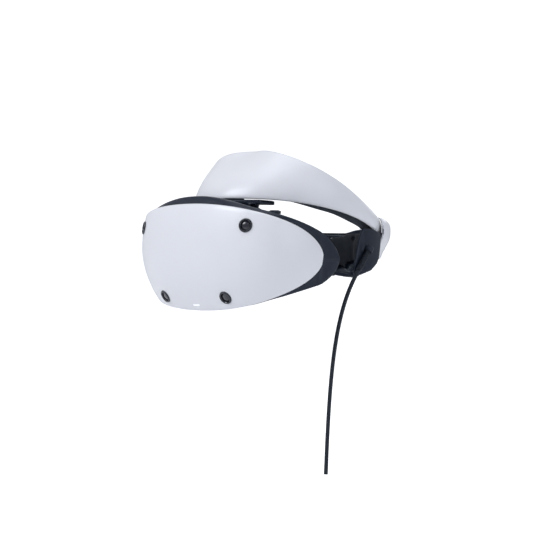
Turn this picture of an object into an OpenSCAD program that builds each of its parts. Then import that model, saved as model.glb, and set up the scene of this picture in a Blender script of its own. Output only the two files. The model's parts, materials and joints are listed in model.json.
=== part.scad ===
// Head-worn display: a front unit (scope) that slides on a rigid headband, and a rear unit
// that slides in and out for head size. +Z is up and the front faces -Y.
// The origin is the centre of the head opening, level with the lens axes.

/* [Visor] */
// Distance from the head centre to the foremost point of the visor
front_reach = 144; // [142:1:148]
// Half width of the visor
visor_half_w = 105.5; // [104:0.5:107]
// Depth of the visor from its front to its side tips
visor_depth = 82; // [80:1:84]
// Half height of the visor at its middle
visor_half_h = 49; // [48:0.5:50]
// Height of the visor's foremost line above the lens axes
nose_z = 12; // [10:1:13]
// Wall thickness of the visor
visor_wall = 2.4; // [2:0.1:2.6]

/* [Scope case] */
// How far the case runs on behind the visor's side tips
case_tail = 22; // [20:1:24]
// Half height of the case
case_half_h = 50; // [49.5:0.5:51]
// Extra height of the case's crown at the middle of its top edge
case_crown = 6.6; // [5.5:0.1:7]
// Depth of the case at its middle
case_depth = 54; // [53:0.5:55]
// Wall thickness of the case
case_wall = 2.2; // [2:0.1:2.4]

/* [Optics] */
// Distance between the two lens axes at rest
eye_spacing = 64; // [63:0.5:65]
// Outer radius of a lens barrel
barrel_r = 25; // [24:0.5:25]
// Radius of the guide rods that the barrels slide on
rod_r = 1.5; // [1.2:0.1:1.6]
// Height of the guide rods above and below the lens axes
rod_z = 27; // [27:0.1:27.2]

/* [Headband] */
// Half width of the band at its lower edge
band_half_w = 82; // [80:1:84]
// Half length of the band at its lower edge
band_half_l = 95.5; // [94:0.5:97]
// Distance of the band's centre in front of the head centre
band_shift = 11.7; // [11:0.1:12.5]
// Wall thickness of the band
band_wall = 2.6; // [2:0.1:3]
// Angle that the band leans back at the forehead
band_lean = 46; // [44:1:48]
// Angle that the band leans in at the sides
side_lean = 1; // [0:0.5:3]

/* [Rear unit] */
// Outer radius of the rear shell around the size mechanism
rear_r = 76.5; // [76:0.1:77]
// Distance from the head centre to the centre of the rear arc
rear_y = 22; // [21.5:0.5:23]
// Height of the size dial's axis
dial_z = 26.5; // [26:0.1:26.7]
// Radius of the size dial
dial_r = 17; // [16.5:0.1:18]
// Pitch radius of the size dial's pinion
pinion_r = 3.6; // [3.6:0.1:3.6]
// Mean radius of the curved toothed strips
strip_r = 68.4; // [68.4:0.1:68.4]

/* [Cable] */
// Radius of the cable
cable_r = 1.9; // [1.5:0.1:2.5]
// Height of the cable's lower end
cable_end_z = -198; // [-260:2:-120]

/* [Hidden] */
$fn = 64;
white = [0.93, 0.94, 0.97];
dark = [0.11, 0.12, 0.15];
metal = [0.7, 0.72, 0.75];

// --- Curves that the outer surfaces follow ---

// The visor's plan is a superellipse, a little squarer than an ellipse.
plan_power = 2.75;
plan_root = 2 / plan_power;
// Radii of the visor's vertical curve above and below its foremost line.
upper_bulge_r = 127;
lower_bulge_r = 77;

function spow(v, e) = sign(v) * pow(abs(v), e);
function lerp(a, b, t) = a + (b - a) * t;
function clamp01(t) = max(0, min(1, t));
function smooth(t) = clamp01(t) * clamp01(t) * (3 - 2 * clamp01(t));

function visor_plan(a) = [
    visor_half_w * spow(sin(a), plan_root),
    visor_depth * (1 - pow(cos(a), plan_root)) - front_reach
];
function bulge(z) =
    z > nose_z ? pow(z - nose_z, 2) / (2 * upper_bulge_r)
    : pow(z - nose_z, 2) / (2 * lower_bulge_r);

// Plan stations from one side tip to the other, closer together near the tips.
stations = 44;
tip_angle = 86;
tail_steps = 6;
arc_plan = [for (i = [0:stations]) visor_plan(90 * sin(lerp(-tip_angle, tip_angle, i / stations)))];
// Beyond each tip the case runs straight back, in steps that shorten towards its end.
function tail_at(k) = visor_depth - front_reach + case_tail * sin(90 * k / tail_steps) * 0.97;
plan_line = concat(
    [for (k = [tail_steps:-1:1]) [-visor_half_w, tail_at(k)]],
    arc_plan,
    [for (k = [1:tail_steps]) [visor_half_w, tail_at(k)]]
);
line_last = len(plan_line) - 1;
line_mid = line_last / 2;
line_run = [
    for (i = 0, s = 0; i <= line_last;
        s = s + (i < line_last ? norm(plan_line[i + 1] - plan_line[i]) : 0), i = i + 1) s
];
// Distance along the plan from the middle, and the outward normal there.
function run_at(i) = abs(line_run[i] - line_run[line_mid]);
function along(i) = plan_line[min(line_last, i + 1)] - plan_line[max(0, i - 1)];
function out_at(i) = [along(i).y, -along(i).x] / norm(along(i));
function on_section(i, n, z) = [
    plan_line[i].x + out_at(i).x * n, plan_line[i].y + out_at(i).y * n, z
];
visor_run = run_at(tail_steps) + 1;
case_run = run_at(0) + 0.6;

function visor_h(q) = visor_half_h * sqrt(max(0, 1 - pow(q / visor_run, 2)));
function crown(q) = case_crown * pow(max(0, 1 - pow(q / 90, 2)), 2);
function case_top(q) = case_half_h * sqrt(max(0, 1 - pow(q / case_run, 2))) + crown(q);
function case_bottom(q) = (case_half_h - 3.6) * sqrt(max(0, 1 - pow(q / case_run, 2)));
// Depth of the case along the inward normal, and of the frame's lip.
function case_in(q) = case_depth - 30 * pow(min(q, visor_run) / visor_run, 2)
    - 12 * clamp01((q - visor_run) / (case_run - visor_run));
function lip_in(q) = 15 - 8 * pow(min(q, visor_run) / visor_run, 2)
    - 2 * clamp01((q - visor_run) / (case_run - visor_run));

// A closed solid through a list of closed loops that all have the same number of points.
module skin(loops, ring = false, flip = false) {
    rows = len(loops);
    cols = len(loops[0]);
    function id(i, j) = (i % rows) * cols + (j % cols);
    sides = [
        for (i = [0:rows - (ring ? 1 : 2)], j = [0:cols - 1])
            each flip ? [[id(i, j), id(i + 1, j + 1), id(i, j + 1)], [id(i, j), id(i + 1, j), id(i + 1, j + 1)]]
            : [[id(i, j), id(i, j + 1), id(i + 1, j + 1)], [id(i, j), id(i + 1, j + 1), id(i + 1, j)]]
    ];
    first = [for (j = [0:cols - 1]) id(0, flip ? j : cols - 1 - j)];
    last = [for (j = [0:cols - 1]) id(rows - 1, flip ? cols - 1 - j : j)];
    ends = ring ? [] : [first, last];
    polyhedron(points = [for (l = loops) each l], faces = concat(sides, ends), convexity = 6);
}

// Places a child whose +Z is the visor's outward normal at the given x and height.
module on_visor(x, z) {
    u = abs(x) / visor_half_w;
    v = pow(1 - pow(u, plan_power), 1 / plan_power);
    slope = atan(visor_depth / visor_half_w * pow(u / v, plan_power - 1)) * sign(x);
    radius = z > nose_z ? upper_bulge_r : lower_bulge_r;
    rise = atan((z - nose_z) / radius);
    at = [x - sin(slope) * bulge(z), visor_depth * (1 - v) - front_reach + cos(slope) * bulge(z), z];
    translate(at)
        rotate([0, 90 - rise, slope - 90])
            children();
}

// The four tracking cameras: two high and wide, two low and closer together.
camera_places = [[74, 28.3], [-74, 28.3], [46.5, -36.6], [-46.5, -36.6]];
module at_cameras() {
    for (p = camera_places)
        on_visor(p.x, p.y)
            children();
}

// A cylinder along +Y that starts at the given point.
module rod_y(at, r, h) {
    translate(at)
        rotate([-90, 0, 0])
            cylinder(r = r, h = h);
}
// A cylinder along +X that starts at the given point.
module rod_x(at, r, h) {
    translate(at)
        rotate([0, 90, 0])
            cylinder(r = r, h = h);
}
// A box given by its low corner and its high corner.
module span(low, high) {
    translate(low)
        cube(high - low);
}
// A coil spring along +Z with square-cut wire.
module coil(r, wire, turns, h) {
    steps = 12 * turns;
    skin([
        for (i = [0:steps])
            let (a = 30 * i, c = lerp(wire, h - wire, i / steps))
                [for (k = [0:4]) [
                    (r + wire * cos(72 * k)) * cos(a),
                    (r + wire * cos(72 * k)) * sin(a),
                    c + wire * sin(72 * k)
                ]]
    ]);
}
// A spur pinion along +Z with slim straight-sided teeth.
module pinion(pitch_radius, teeth, h) {
    m = 2 * pitch_radius / teeth;
    step = 360 / teeth;
    root = pitch_radius - 1.15 * m;
    tip = pitch_radius + 0.8 * m;
    linear_extrude(h)
        polygon([
            for (i = [0:teeth - 1])
                each [
                    root * [cos(step * (i - 0.3)), sin(step * (i - 0.3))],
                    root * [cos(step * (i - 0.22)), sin(step * (i - 0.22))],
                    tip * [cos(step * (i - 0.09)), sin(step * (i - 0.09))],
                    tip * [cos(step * (i + 0.09)), sin(step * (i + 0.09))],
                    root * [cos(step * (i + 0.22)), sin(step * (i + 0.22))],
                    root * [cos(step * (i + 0.3)), sin(step * (i + 0.3))]
                ]
        ]);
}
// The outline of a rack's teeth, pitch line on y = 0 and teeth pointing along +y.
module tooth_row(module_size, count) {
    pitch = PI * module_size;
    for (i = [0:count - 1])
        translate([pitch * i, 0])
            polygon([
                [-0.24 * pitch, -1.2 * module_size], [0.24 * pitch, -1.2 * module_size],
                [0.09 * pitch, 0.8 * module_size], [-0.09 * pitch, 0.8 * module_size]
            ]);
}

// --- Scope: shells ---

front_y = -front_reach;

visor_rows = 8;
module front_cover() {
    color(white)
        difference() {
            skin([
                for (i = [tail_steps:line_last - tail_steps])
                    let (h = visor_h(run_at(i)), hi = h - min(1.2, h / 3))
                        concat(
                            [for (k = [0:visor_rows]) let (z = lerp(-h, h, k / visor_rows))
                                on_section(i, -bulge(z), z)],
                            [for (k = [visor_rows:-1:0]) let (z = lerp(-hi, hi, k / visor_rows))
                                on_section(i, -bulge(z) - visor_wall, z)]
                        )
            ]);
            at_cameras()
                translate([0, 0, -20])
                    cylinder(r = 6.5, h = 40);
            on_visor(0.01, status_z)
                cube([status_size.y + 0.4, status_size.x + 0.4, 12], center = true);
        }
}
status_z = -44;
status_size = [9, 1.4];

// The frame: a tray behind the visor with a bevelled rim that runs up to the case.
frame_rows = 6;
function frame_gap(q) = lerp(4.6, 3, clamp01((q - 110) / 36)) - 1.5 * clamp01((q - visor_run) / 10);
function frame_loop(i) =
    let (
        q = run_at(i), vh = max(visor_h(q), 2), top = case_top(q), low = case_bottom(q), lip = lip_in(q),
        gt = bulge(vh), gb = bulge(-vh), w = frame_gap(q), t = 1.8, zt = min(vh - 0.4, top - 1.2),
        zb = min(vh - 0.4, low - 1.2), th = min(2, top * 0.3), edge = min(3, w)
    )
        concat(
            [for (k = [0:frame_rows]) let (z = lerp(-zb, zt, k / frame_rows) * 0.94)
                on_section(i, -bulge(z) - w, z)],
            [
                on_section(i, -gt - edge, zt),
                on_section(i, -gt - lip * 0.45, top - min(1.2, (top - zt) * 0.3)),
                on_section(i, -gt - lip * 0.7, top),
                on_section(i, -gt - lip, top),
                on_section(i, -gt - lip, top - th),
                on_section(i, -gt - lip * 0.75, top - th)
            ],
            [for (k = [frame_rows:-1:0]) let (z = lerp(-zb, zt, k / frame_rows) * 0.88)
                on_section(i, -bulge(z) - w - t, z)],
            [
                on_section(i, -gb - lip * 0.75, -low + th),
                on_section(i, -gb - lip, -low + th),
                on_section(i, -gb - lip, -low),
                on_section(i, -gb - lip * 0.7, -low),
                on_section(i, -gb - lip * 0.45, -low + min(1.2, (low - zb) * 0.3)),
                on_section(i, -gb - edge, -zb)
            ]
        );
module front_frame() {
    color(dark)
        difference() {
            skin([for (i = [0:line_last]) frame_loop(i)]);
            at_cameras()
                translate([0, 0, -30])
                    cylinder(r = 6.6, h = 40);
            for (x = [-1, 1], z = [-1, 1])
                rod_y([post_x * x, front_y + 4, post_z * z], 1.2, 40);
            ipd_pocket();
        }
}

// The rear case: open towards the frame, sloping down to the rear wall.
post_x = 70;
post_z = 20;
post_r = 2.5;
post_from = 29;
post_end = -79;
function case_loop(i) =
    let (
        q = run_at(i), vh = max(visor_h(q), 2), top = case_top(q), low = case_bottom(q), d = case_in(q),
        lt = min(bulge(vh) + lip_in(q) + 0.3, d * 0.75), lb = min(bulge(-vh) + lip_in(q) + 0.3, d * 0.75),
        t = min(case_wall, top * 0.25), tw = min(case_wall, (d - lt) * 0.4)
    )
        concat(
            [for (k = case_roof) on_section(i, -lerp(lt, d, k.x), top * k.y)],
            [for (k = case_floor) on_section(i, -lerp(lb, d, k.x), -low * k.y)],
            [for (k = [len(case_floor) - 1:-1:0])
                on_section(i, -lerp(lb, d - tw, case_floor[k].x), t * (1 - 0.4 * case_floor[k].x) - low * case_floor[k].y)],
            [for (k = [len(case_roof) - 1:-1:0])
                on_section(i, -lerp(lt, d - tw, case_roof[k].x), top * case_roof[k].y - t * (1 - 0.4 * case_roof[k].x))]
        );
// Shares of the way back, and of the height there, for the case's roof and floor.
case_roof = [[0, 1], [0.45, 0.9], [0.75, 0.79], [0.93, 0.69], [1, 0.54]];
case_floor = [[1, 0.55], [0.92, 0.7], [0.7, 0.82], [0.35, 0.93], [0, 1]];
module case_posts() {
    for (x = [-1, 1], z = [-1, 1])
        rod_y([post_x * x, front_y + post_from, post_z * z], post_r, post_end - front_y - post_from - 0.2);
}
module rear_case() {
    color(dark)
        difference() {
            union() {
                skin([for (i = [0:line_last]) case_loop(i)]);
                case_posts();
            }
            for (s = [-1, 1]) {
                eye_slot(s);
                span([s * rail_x - 3.5, front_y + 40, rail_z - 0.5], [s * rail_x + 3.5, front_y + 70, rail_z + 4.1]);
            }
            for (x = [-1, 1], z = [-1, 1]) {
                rod_y([post_x * x, front_y + 20, post_z * z], 1.2, 60);
                rod_y([post_x * x, post_end - 1.6, post_z * z], 2.5, 20);
            }
            ipd_pocket();
            release_hole();
            button_holes();
        }
}
module eye_slot(side) {
    reach = barrel_r + 1.5;
    for (x = [ipd_low, ipd_high])
        rod_y([side * x, front_y + 46, 0], reach, 30);
    span(
        [side > 0 ? ipd_low : -ipd_high, front_y + 46, -reach],
        [side > 0 ? ipd_high : -ipd_low, front_y + 76, reach]
    );
}

module case_screws() {
    color(metal)
        for (x = [-1, 1], z = [-1, 1])
            let (from = z > 0 ? 18.5 : 23) {
                rod_y([post_x * x, front_y + from, post_z * z], 1.1, post_end - front_y - from - 1);
                rod_y([post_x * x, post_end - 1.5, post_z * z], 2.3, 1.5);
            }
}

// --- Scope: cameras and light ---

module camera_bezels() {
    color(dark)
        at_cameras()
            rotate_extrude()
                polygon([[4.3, -3.4], [6.25, -3.4], [6.25, 0.7], [5.7, 1.2], [5, 1.2], [4.3, 0.2]]);
}
module camera_lenses() {
    color([0.05, 0.05, 0.09])
        at_cameras()
            rotate_extrude()
                polygon([[0, -3.2], [4.2, -3.2], [4.2, -0.6], [3.4, -0.1], [2, 0.35], [0, 0.5]]);
}
module camera_modules() {
    color([0.2, 0.2, 0.22])
        at_cameras()
            translate([0, 0, -12.4])
                cylinder(r = 5.4, h = 8.9);
}
module status_light() {
    color([1, 1, 1])
        on_visor(0.01, status_z)
            translate([0, 0, -1.3])
                cube([status_size.y, status_size.x, 2.4], center = true);
}

// --- Scope: electronics and cooling ---

fan_z = 12;
fan_y = front_y + 11.5;
module main_board() {
    color([0.08, 0.3, 0.16])
        difference() {
            span([-44, front_y + 22.5, -18], [44, front_y + 24, 30]);
            for (x = [-40, 40], z = [-14, 26])
                rod_y([x, front_y + 20, z], 1.4, 8);
        }
}
module heat_sink() {
    color(metal) {
        span([-21, front_y + 20.8, -8], [21, front_y + 22.4, 32]);
        for (k = [0:10])
            span([-20.6 + 4 * k, front_y + 17.4, -8], [-19.4 + 4 * k, front_y + 20.9, 32]);
    }
}
module fan_housing() {
    color(dark)
        difference() {
            rod_y([0, fan_y, fan_z], 20, 5.6);
            rod_y([0, fan_y + 1, fan_z], 18.6, 9);
            difference() {
                rod_y([0, fan_y - 1, fan_z], 12, 3);
                span([-13, fan_y - 2, fan_z - 1], [13, fan_y + 3, fan_z + 1]);
                span([-1, fan_y - 2, fan_z - 13], [1, fan_y + 3, fan_z + 13]);
                rod_y([0, fan_y - 2, fan_z], 4, 8);
            }
            rod_y([0, fan_y - 1, fan_z], 1.05, 9);
        }
}
fan_blades = 9;
module fan_rotor() {
    color([0.25, 0.25, 0.28]) {
        rod_y([0, fan_y + 0.2, fan_z], 1, 5);
        rod_y([0, fan_y + 1.4, fan_z], 6, 3.8);
        for (k = [0:fan_blades - 1])
            translate([0, fan_y + 1.4, fan_z])
                rotate([-90, 0, 0])
                    rotate(360 / fan_blades * k)
                        translate([5.5, -0.5, 0])
                            cube([12, 1, 3.6]);
    }
}

// --- Scope: eye units and their drive ---

eye_x = eye_spacing / 2;
ipd_low = 29.5;
ipd_high = 36;
rod_y_at = front_y + 41;
rack_low = 29;
rack_high = 31.4;
mesh_r = 4;
mesh_teeth = 10;
mesh_size = 2 * mesh_r / mesh_teeth;
ipd_at = [82, rod_y_at];
ipd_base = 40;
back_rack_y = rod_y_at + mesh_r;
front_rack_y = rod_y_at - mesh_r;
bracket_x = 62;

module eye_barrel(side) {
    x = side * eye_x;
    difference() {
        union() {
            rod_y([x, front_y + 29, 0], barrel_r, 27);
            translate([x, front_y + 56, 0])
                rotate([-90, 0, 0])
                    cylinder(r1 = barrel_r, r2 = barrel_r - 1, h = 2);
            for (z = [-1, 1]) {
                rod_x([x - 6, rod_y_at, z * rod_z], 3.1, 12);
                span([x - 6, rod_y_at - 2.4, min(z * 23, z * 29)], [x + 6, rod_y_at + 2.4, max(z * 23, z * 29)]);
            }
            rack_boss_y = side > 0 ? back_rack_y + 1.6 : front_rack_y - 4.2;
            span([x - 5, rack_boss_y, 22], [x + 5, rack_boss_y + 2.6, rack_low]);
        }
        rod_y([x, front_y + 28, 0], barrel_r - 3.4, 40);
        rod_y([x, front_y + 52, 0], barrel_r - 2, 20);
        for (z = [-1, 1])
            rod_x([x - 10, rod_y_at, z * rod_z], rod_r + 0.05, 20);
    }
}
lens_curve = 69;
module eye_lens(side) {
    translate([side * eye_x, front_y + 52.1, 0])
        rotate([-90, 0, 0])
            intersection() {
                translate([0, 0, 0.4])
                    cylinder(r = barrel_r - 2.1, h = 8);
                translate([0, 0, 5.6 - lens_curve])
                    sphere(r = lens_curve, $fn = 96);
            }
}
module eye_display(side) {
    span([side * eye_x - 21.4, front_y + 27, -24], [side * eye_x + 21.4, front_y + 28.9, 24]);
}
module tracking_ring(side) {
    difference() {
        rod_y([side * eye_x, front_y + 58.1, 0], barrel_r - 1, 1.6);
        rod_y([side * eye_x, front_y + 57, 0], barrel_r - 3, 4);
    }
}
module left_lens_barrel() { color(dark) eye_barrel(1); }
module right_lens_barrel() { color(dark) eye_barrel(-1); }
module left_lens() { color([0.6, 0.7, 0.85]) eye_lens(1); }
module right_lens() { color([0.6, 0.7, 0.85]) eye_lens(-1); }
module left_display() { color([0.03, 0.03, 0.05]) eye_display(1); }
module right_display() { color([0.03, 0.03, 0.05]) eye_display(-1); }
module left_tracking_ring() { color([0.16, 0.16, 0.2]) tracking_ring(1); }
module right_tracking_ring() { color([0.16, 0.16, 0.2]) tracking_ring(-1); }

module guide_rods() {
    color(metal)
        for (z = [-1, 1])
            rod_x([-bracket_x - 2.8, rod_y_at, z * rod_z], rod_r, 2 * bracket_x + 5.6);
}
bridge_z = 32.2;
// The bridge holds the rods at both ends and carries the post for the centre pinion.
module gear_bridge() {
    color([0.3, 0.3, 0.33])
        difference() {
            union() {
                span([-bracket_x - 3, rod_y_at - 3, bridge_z], [bracket_x + 3, rod_y_at + 1.2, bridge_z + 1.4]);
                span([release_at.x - 8, release_at.y - 3, bridge_z], [release_at.x, rod_y_at, bridge_z + 1.4]);
                for (s = [-1, 1])
                    span(
                        [s * (bracket_x + 1.5) - 1.5, rod_y_at - 3, -30.5],
                        [s * (bracket_x + 1.5) + 1.5, rod_y_at + 1.2, bridge_z + 1.4]
                    );
                translate([0, rod_y_at, rack_low - 0.3])
                    cylinder(r = 1, h = 4);
            }
            for (z = [-1, 1])
                rod_x([-bracket_x - 5, rod_y_at, z * rod_z], rod_r + 0.02, 2 * bracket_x + 10);
        }
}
// Room for the lens-spacing dial in the roof, and the hole for its shaft.
module ipd_pocket() {
    translate([ipd_at.x, ipd_at.y, 20])
        cylinder(r = 2.1, h = 40);
    translate([ipd_at.x, ipd_at.y, ipd_base - 0.3])
        cylinder(r = 5.7, h = 20);
}
rack_teeth = 9;
module left_rack() {
    color([0.85, 0.85, 0.82]) {
        span([-13, back_rack_y + 0.95, rack_low], [40, back_rack_y + 4.4, rack_high]);
        span([39, back_rack_y + 0.95, rack_low], [83.9, back_rack_y + 2.8, rack_high]);
        translate([0, back_rack_y, rack_low])
            linear_extrude(rack_high - rack_low)
                mirror([0, 1]) {
                    rack_edge(rack_teeth);
                    translate([ipd_at.x - PI * mesh_size, 0])
                        rack_edge(4);
                }
    }
}
// A run of teeth with a gap at its middle, where a pinion's tooth stands.
module rack_edge(count) {
    translate([-PI * mesh_size * (ceil(count / 2) - 0.5), 0])
        tooth_row(mesh_size, count);
}
module right_rack() {
    color([0.85, 0.85, 0.82]) {
        span([-37, front_rack_y - 4.4, rack_low], [13, front_rack_y - 0.95, rack_high]);
        translate([0, front_rack_y, rack_low])
            linear_extrude(rack_high - rack_low)
                rack_edge(rack_teeth);
    }
}
module centre_pinion() {
    color([0.85, 0.85, 0.82])
        translate([0, rod_y_at, rack_low])
            difference() {
                rotate(90)
                    pinion(mesh_r, mesh_teeth, rack_high - rack_low);
                translate([0, 0, -1])
                    cylinder(r = 1.05, h = 9);
            }
}
module ipd_dial() {
    color([0.2, 0.21, 0.25])
        translate([ipd_at.x, ipd_at.y, ipd_base]) {
            linear_extrude(2.4)
                polygon([for (k = [0:47]) (k % 2 == 0 ? 5.5 : 5.15) * [cos(7.5 * k), sin(7.5 * k)]]);
            translate([0, 0, 2.3])
                cylinder(r1 = 5, r2 = 4, h = 0.7);
            translate([0, 0, rack_high - ipd_base])
                cylinder(r = 2, h = ipd_base - rack_high + 1);
        }
}
module ipd_dial_pinion() {
    color([0.85, 0.85, 0.82])
        translate([ipd_at.x, ipd_at.y, rack_low])
            rotate(90)
                pinion(mesh_r, mesh_teeth, rack_high - rack_low);
}

// --- Scope: rumble motor, buttons and release ---

motor_at = [-20, front_y + 30, 44];
module vibration_motor() {
    color(metal)
        difference() {
            rod_x(motor_at, 4, 20);
            rod_x(motor_at + [12, 0, 0], 0.85, 9);
        }
}
module vibration_weight() {
    color([0.5, 0.5, 0.52]) {
        rod_x(motor_at + [13, 0, 0], 0.8, 14);
        difference() {
            rod_x(motor_at + [21, 0, 0], 3.8, 6);
            span(motor_at + [20, -5, 0.2], motor_at + [28, 5, 6]);
        }
    }
}

// The two buttons stand square to the case's sloping floor.
button_at = [front_y + 45, -43];
button_tilt = 38;
power_x = 0;
power_r = 4.4;
function_x = -20;
function_r = 3.4;
module at_button(x) {
    translate([x, button_at.x, button_at.y])
        rotate([180 + button_tilt, 0, 0])
            children();
}
module button_holes() {
    at_button(power_x)
        button_bore(power_r);
    at_button(function_x)
        button_bore(function_r);
}
module button_bore(r) {
    translate([0, 0, -3])
        cylinder(r = r + 0.1, h = 16);
    translate([0, 0, -12])
        cylinder(r = r + 1.2, h = 9.2);
}
module press_button(x, r) {
    at_button(x) {
        translate([0, 0, -4.2])
            cylinder(r = r, h = 5);
        translate([0, 0, -5.2])
            cylinder(r = r + 1, h = 1.1);
    }
}
module power_button() { color([0.2, 0.21, 0.25]) press_button(power_x, power_r); }
module function_button() { color([0.2, 0.21, 0.25]) press_button(function_x, function_r); }
module button_springs() {
    color(metal)
        for (x = [power_x, function_x])
            at_button(x)
                translate([0, 0, -10])
                    coil(2.2, 0.3, 3, 4);
}

release_at = [-52, front_y + 34];
release_size = [20, 8];
release_top = 48;
module release_hole() {
    span(
        [release_at.x - release_size.x / 2 - 0.3, release_at.y - release_size.y / 2 - 0.3, 30],
        [release_at.x + release_size.x / 2 + 0.3, release_at.y + release_size.y / 2 + 0.3, 70]
    );
}
module scope_release_button() {
    color([0.2, 0.21, 0.25])
        span(
            [release_at.x - release_size.x / 2, release_at.y - release_size.y / 2, 40.2],
            [release_at.x + release_size.x / 2, release_at.y + release_size.y / 2, release_top]
        );
}
// The latch hangs beside the button, with a tooth that is drawn just clear of the near rail's notches.
module scope_latch() {
    side = release_at.x + release_size.x / 2 + 0.05;
    color(metal) {
        span([side, latch_y - 2, rail_z - 2.2], [side + 1.4, latch_y + 2, 44]);
        span([side, latch_y - 2, rail_z - 2.2], [3 - rail_x, latch_y + 2, rail_z - 1.2]);
        span([-rail_x - 3, latch_y - 0.95, rail_z - 1.3], [3 - rail_x, latch_y + 0.95, rail_z - 0.15]);
    }
}
latch_y = front_y + 33;
module scope_release_spring() {
    color(metal)
        translate([release_at.x - 4, release_at.y, bridge_z + 1.45])
            coil(2.4, 0.35, 3, 6.5);
}

// --- Scope: light shield and face side ---

shield_steps = 56;
shield_rows = 9;
// Where the shield leaves the case, and the edge that rests on the face.
function case_back(x) = case_depth + 27 * pow(clamp01((abs(x) - 52) / 29), 1.8) + front_y;
function shield_root(a) =
    let (x = 71 * cos(a), z = 33 * sin(a))
        [x, case_back(x) + 2.6, z];
function shield_face(a) =
    let (
        x = 79 * spow(cos(a), 0.92),
        nose = sin(a) < 0 ? 17 * exp(-pow(x / 17, 2)) : 0,
        z = sin(a) > 0 ? 35.4 * spow(sin(a), 0.92) : 39.5 * sin(a)
    )
        [x, front_y + 67 + 50 * pow(abs(x) / 80, 2.4) + (z < 0 ? -z * 0.16 : 0), z + nose];
module light_shield() {
    wall = 1.7;
    lip = 7;
    color(dark)
        skin([
            for (i = [0:shield_steps - 1])
                let (
                    a = 360 * i / shield_steps, p = shield_root(a), f = shield_face(a),
                    n = [cos(a), 0, sin(a)]
                )
                    concat(
                        [for (k = [0:shield_rows]) let (t = k / shield_rows)
                            p + [(f - p).x * t * t, (f - p).y * t, (f - p).z * t * t]
                            + n * (0.8 + 0.8 * cos(360 * 3 * t))],
                        [f + n * (-lip) + [0, 1.2, 0], f + n * (-lip) + [0, -0.6, 0]],
                        [for (k = [shield_rows:-1:0]) let (t = k / shield_rows * 0.96)
                            p + [(f - p).x * t * t, (f - p).y * t, (f - p).z * t * t]
                            + n * (0.8 + 0.8 * cos(360 * 3 * t) - wall)]
                    )
        ], ring = true, flip = true);
}
module nose_flaps() {
    color(dark)
        for (s = [-1, 1])
            translate([s * 9, front_y + 63, -18])
                rotate([8, 0, s * -18])
                    translate([-6, 0, -7])
                        cube([12, 1, 15]);
}
module proximity_window() {
    color([0.04, 0.04, 0.06])
        span([-2.4, front_y + 54.2, 27], [2.4, front_y + 55.4, 31]);
}

// --- Headband: front ---

band_front = -band_shift - band_half_l;
function band_top(y) = 104 - 62 * smooth((y - band_front) / 180);
function band_low(y) = 55.2 - 34 * pow(clamp01((y - band_front) / 180), 1.85);
function lean_at(a) = side_lean + (band_lean - side_lean) * pow(max(0, cos(a)), 1.6);
// The band stands nearly upright at its lower edge and leans back more and more above it.
lean_power = 1.4;
// A point on the band: a is the plan angle from the front, v the share of its height.
function band_point(a, v, inset) =
    let (
        y = -band_shift - band_half_l * cos(a), low = band_low(y), high = band_top(y), z = lerp(low, high, v),
        rise = (high - low) * pow(clamp01(v), lean_power),
        back = tan(lean_at(a)) * rise - 2.4 * sin(180 * clamp01(v)) + inset
    )
        [(band_half_w - back) * sin(a), (back - band_half_l) * cos(a) - band_shift, z];
band_end = 139;
band_steps = 56;
module band_skin(from_a, to_a, steps, rows, outer, inner, low_v, high_v) {
    skin([
        for (i = [0:steps])
            let (a = lerp(from_a, to_a, i / steps))
                concat(
                    [for (k = [0:rows]) band_point(a, lerp(low_v, high_v, k / rows), outer)],
                    [for (k = [rows:-1:0]) band_point(a, lerp(low_v, high_v, k / rows), inner)]
                )
    ]);
}
module front_band_shell() {
    color(white)
        band_skin(-band_end, band_end, band_steps, 6, 0, band_wall, 0, 1);
}
// The liner drops below the band towards its ends, and stands further in behind the ears.
liner_end = 134;
function liner_drop(a) = 0.02 - 0.12 * smooth((abs(a) - 45) / 35) - 0.18 * smooth((abs(a) - 76) / 28);
function liner_inset(a) = band_wall + 0.6 + 3 * smooth((abs(a) - 98) / 14);
module band_liner() {
    rows = 5;
    color(dark)
        skin([
            for (i = [0:48])
                let (a = lerp(-liner_end, liner_end, i / 48))
                    concat(
                        [for (k = [0:rows]) band_point(a, lerp(liner_drop(a), 0.96, k / rows), liner_inset(a))],
                        [for (k = [rows:-1:0]) band_point(a, lerp(liner_drop(a), 0.96, k / rows), liner_inset(a) + 1.6)]
                    )
        ]);
}
module forehead_pad() {
    color(dark)
        band_skin(-62, 62, 24, 5, band_wall + 2.8, band_wall + 14, 0.08, 0.86);
}
// Plan angle at the middle of each strap, and half the angle that it spans.
strap_mid = 121.5;
strap_half = 13;
module side_straps() {
    color(dark)
        for (s = [-1, 1])
            band_skin(
                s * strap_mid - strap_half, s * strap_mid + strap_half, 8, 3,
                liner_inset(strap_mid) + 2, liner_inset(strap_mid) + 3.6, 0.2, 0.8
            );
}

// The bridge joins the band to the two rails that the scope slides on.
rail_x = 30;
rail_z = 37.4;
bridge_low = 50.2;
bridge_high = 54.5;
bridge_half_w = 46;
module forehead_bridge() {
    color(dark)
        difference() {
            union() {
                intersection() {
                    difference() {
                        oval(band_half_w - 1.2, band_half_l - 1.2, bridge_low, bridge_high);
                        oval(band_half_w - 15, band_half_l - 15, bridge_low - 1, bridge_high + 1);
                    }
                    span([-bridge_half_w, -130, 40], [bridge_half_w, -50, 60]);
                }
                for (s = [-1, 1]) {
                    span([s * rail_x - 5, front_y + 48, bridge_low], [s * rail_x + 5, front_y + 63.6, bridge_high]);
                    span([s * rail_x - 5, front_y + 60.4, rail_z], [s * rail_x + 5, front_y + 63.6, bridge_high]);
                    bridge_rib(s);
                }
            }
            for (s = [-1, 1])
                translate([s * band_screw.x, band_screw.y, bridge_low - 2])
                    cylinder(r = 1.3, h = 10);
        }
}
band_screw = [20, -90];
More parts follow.
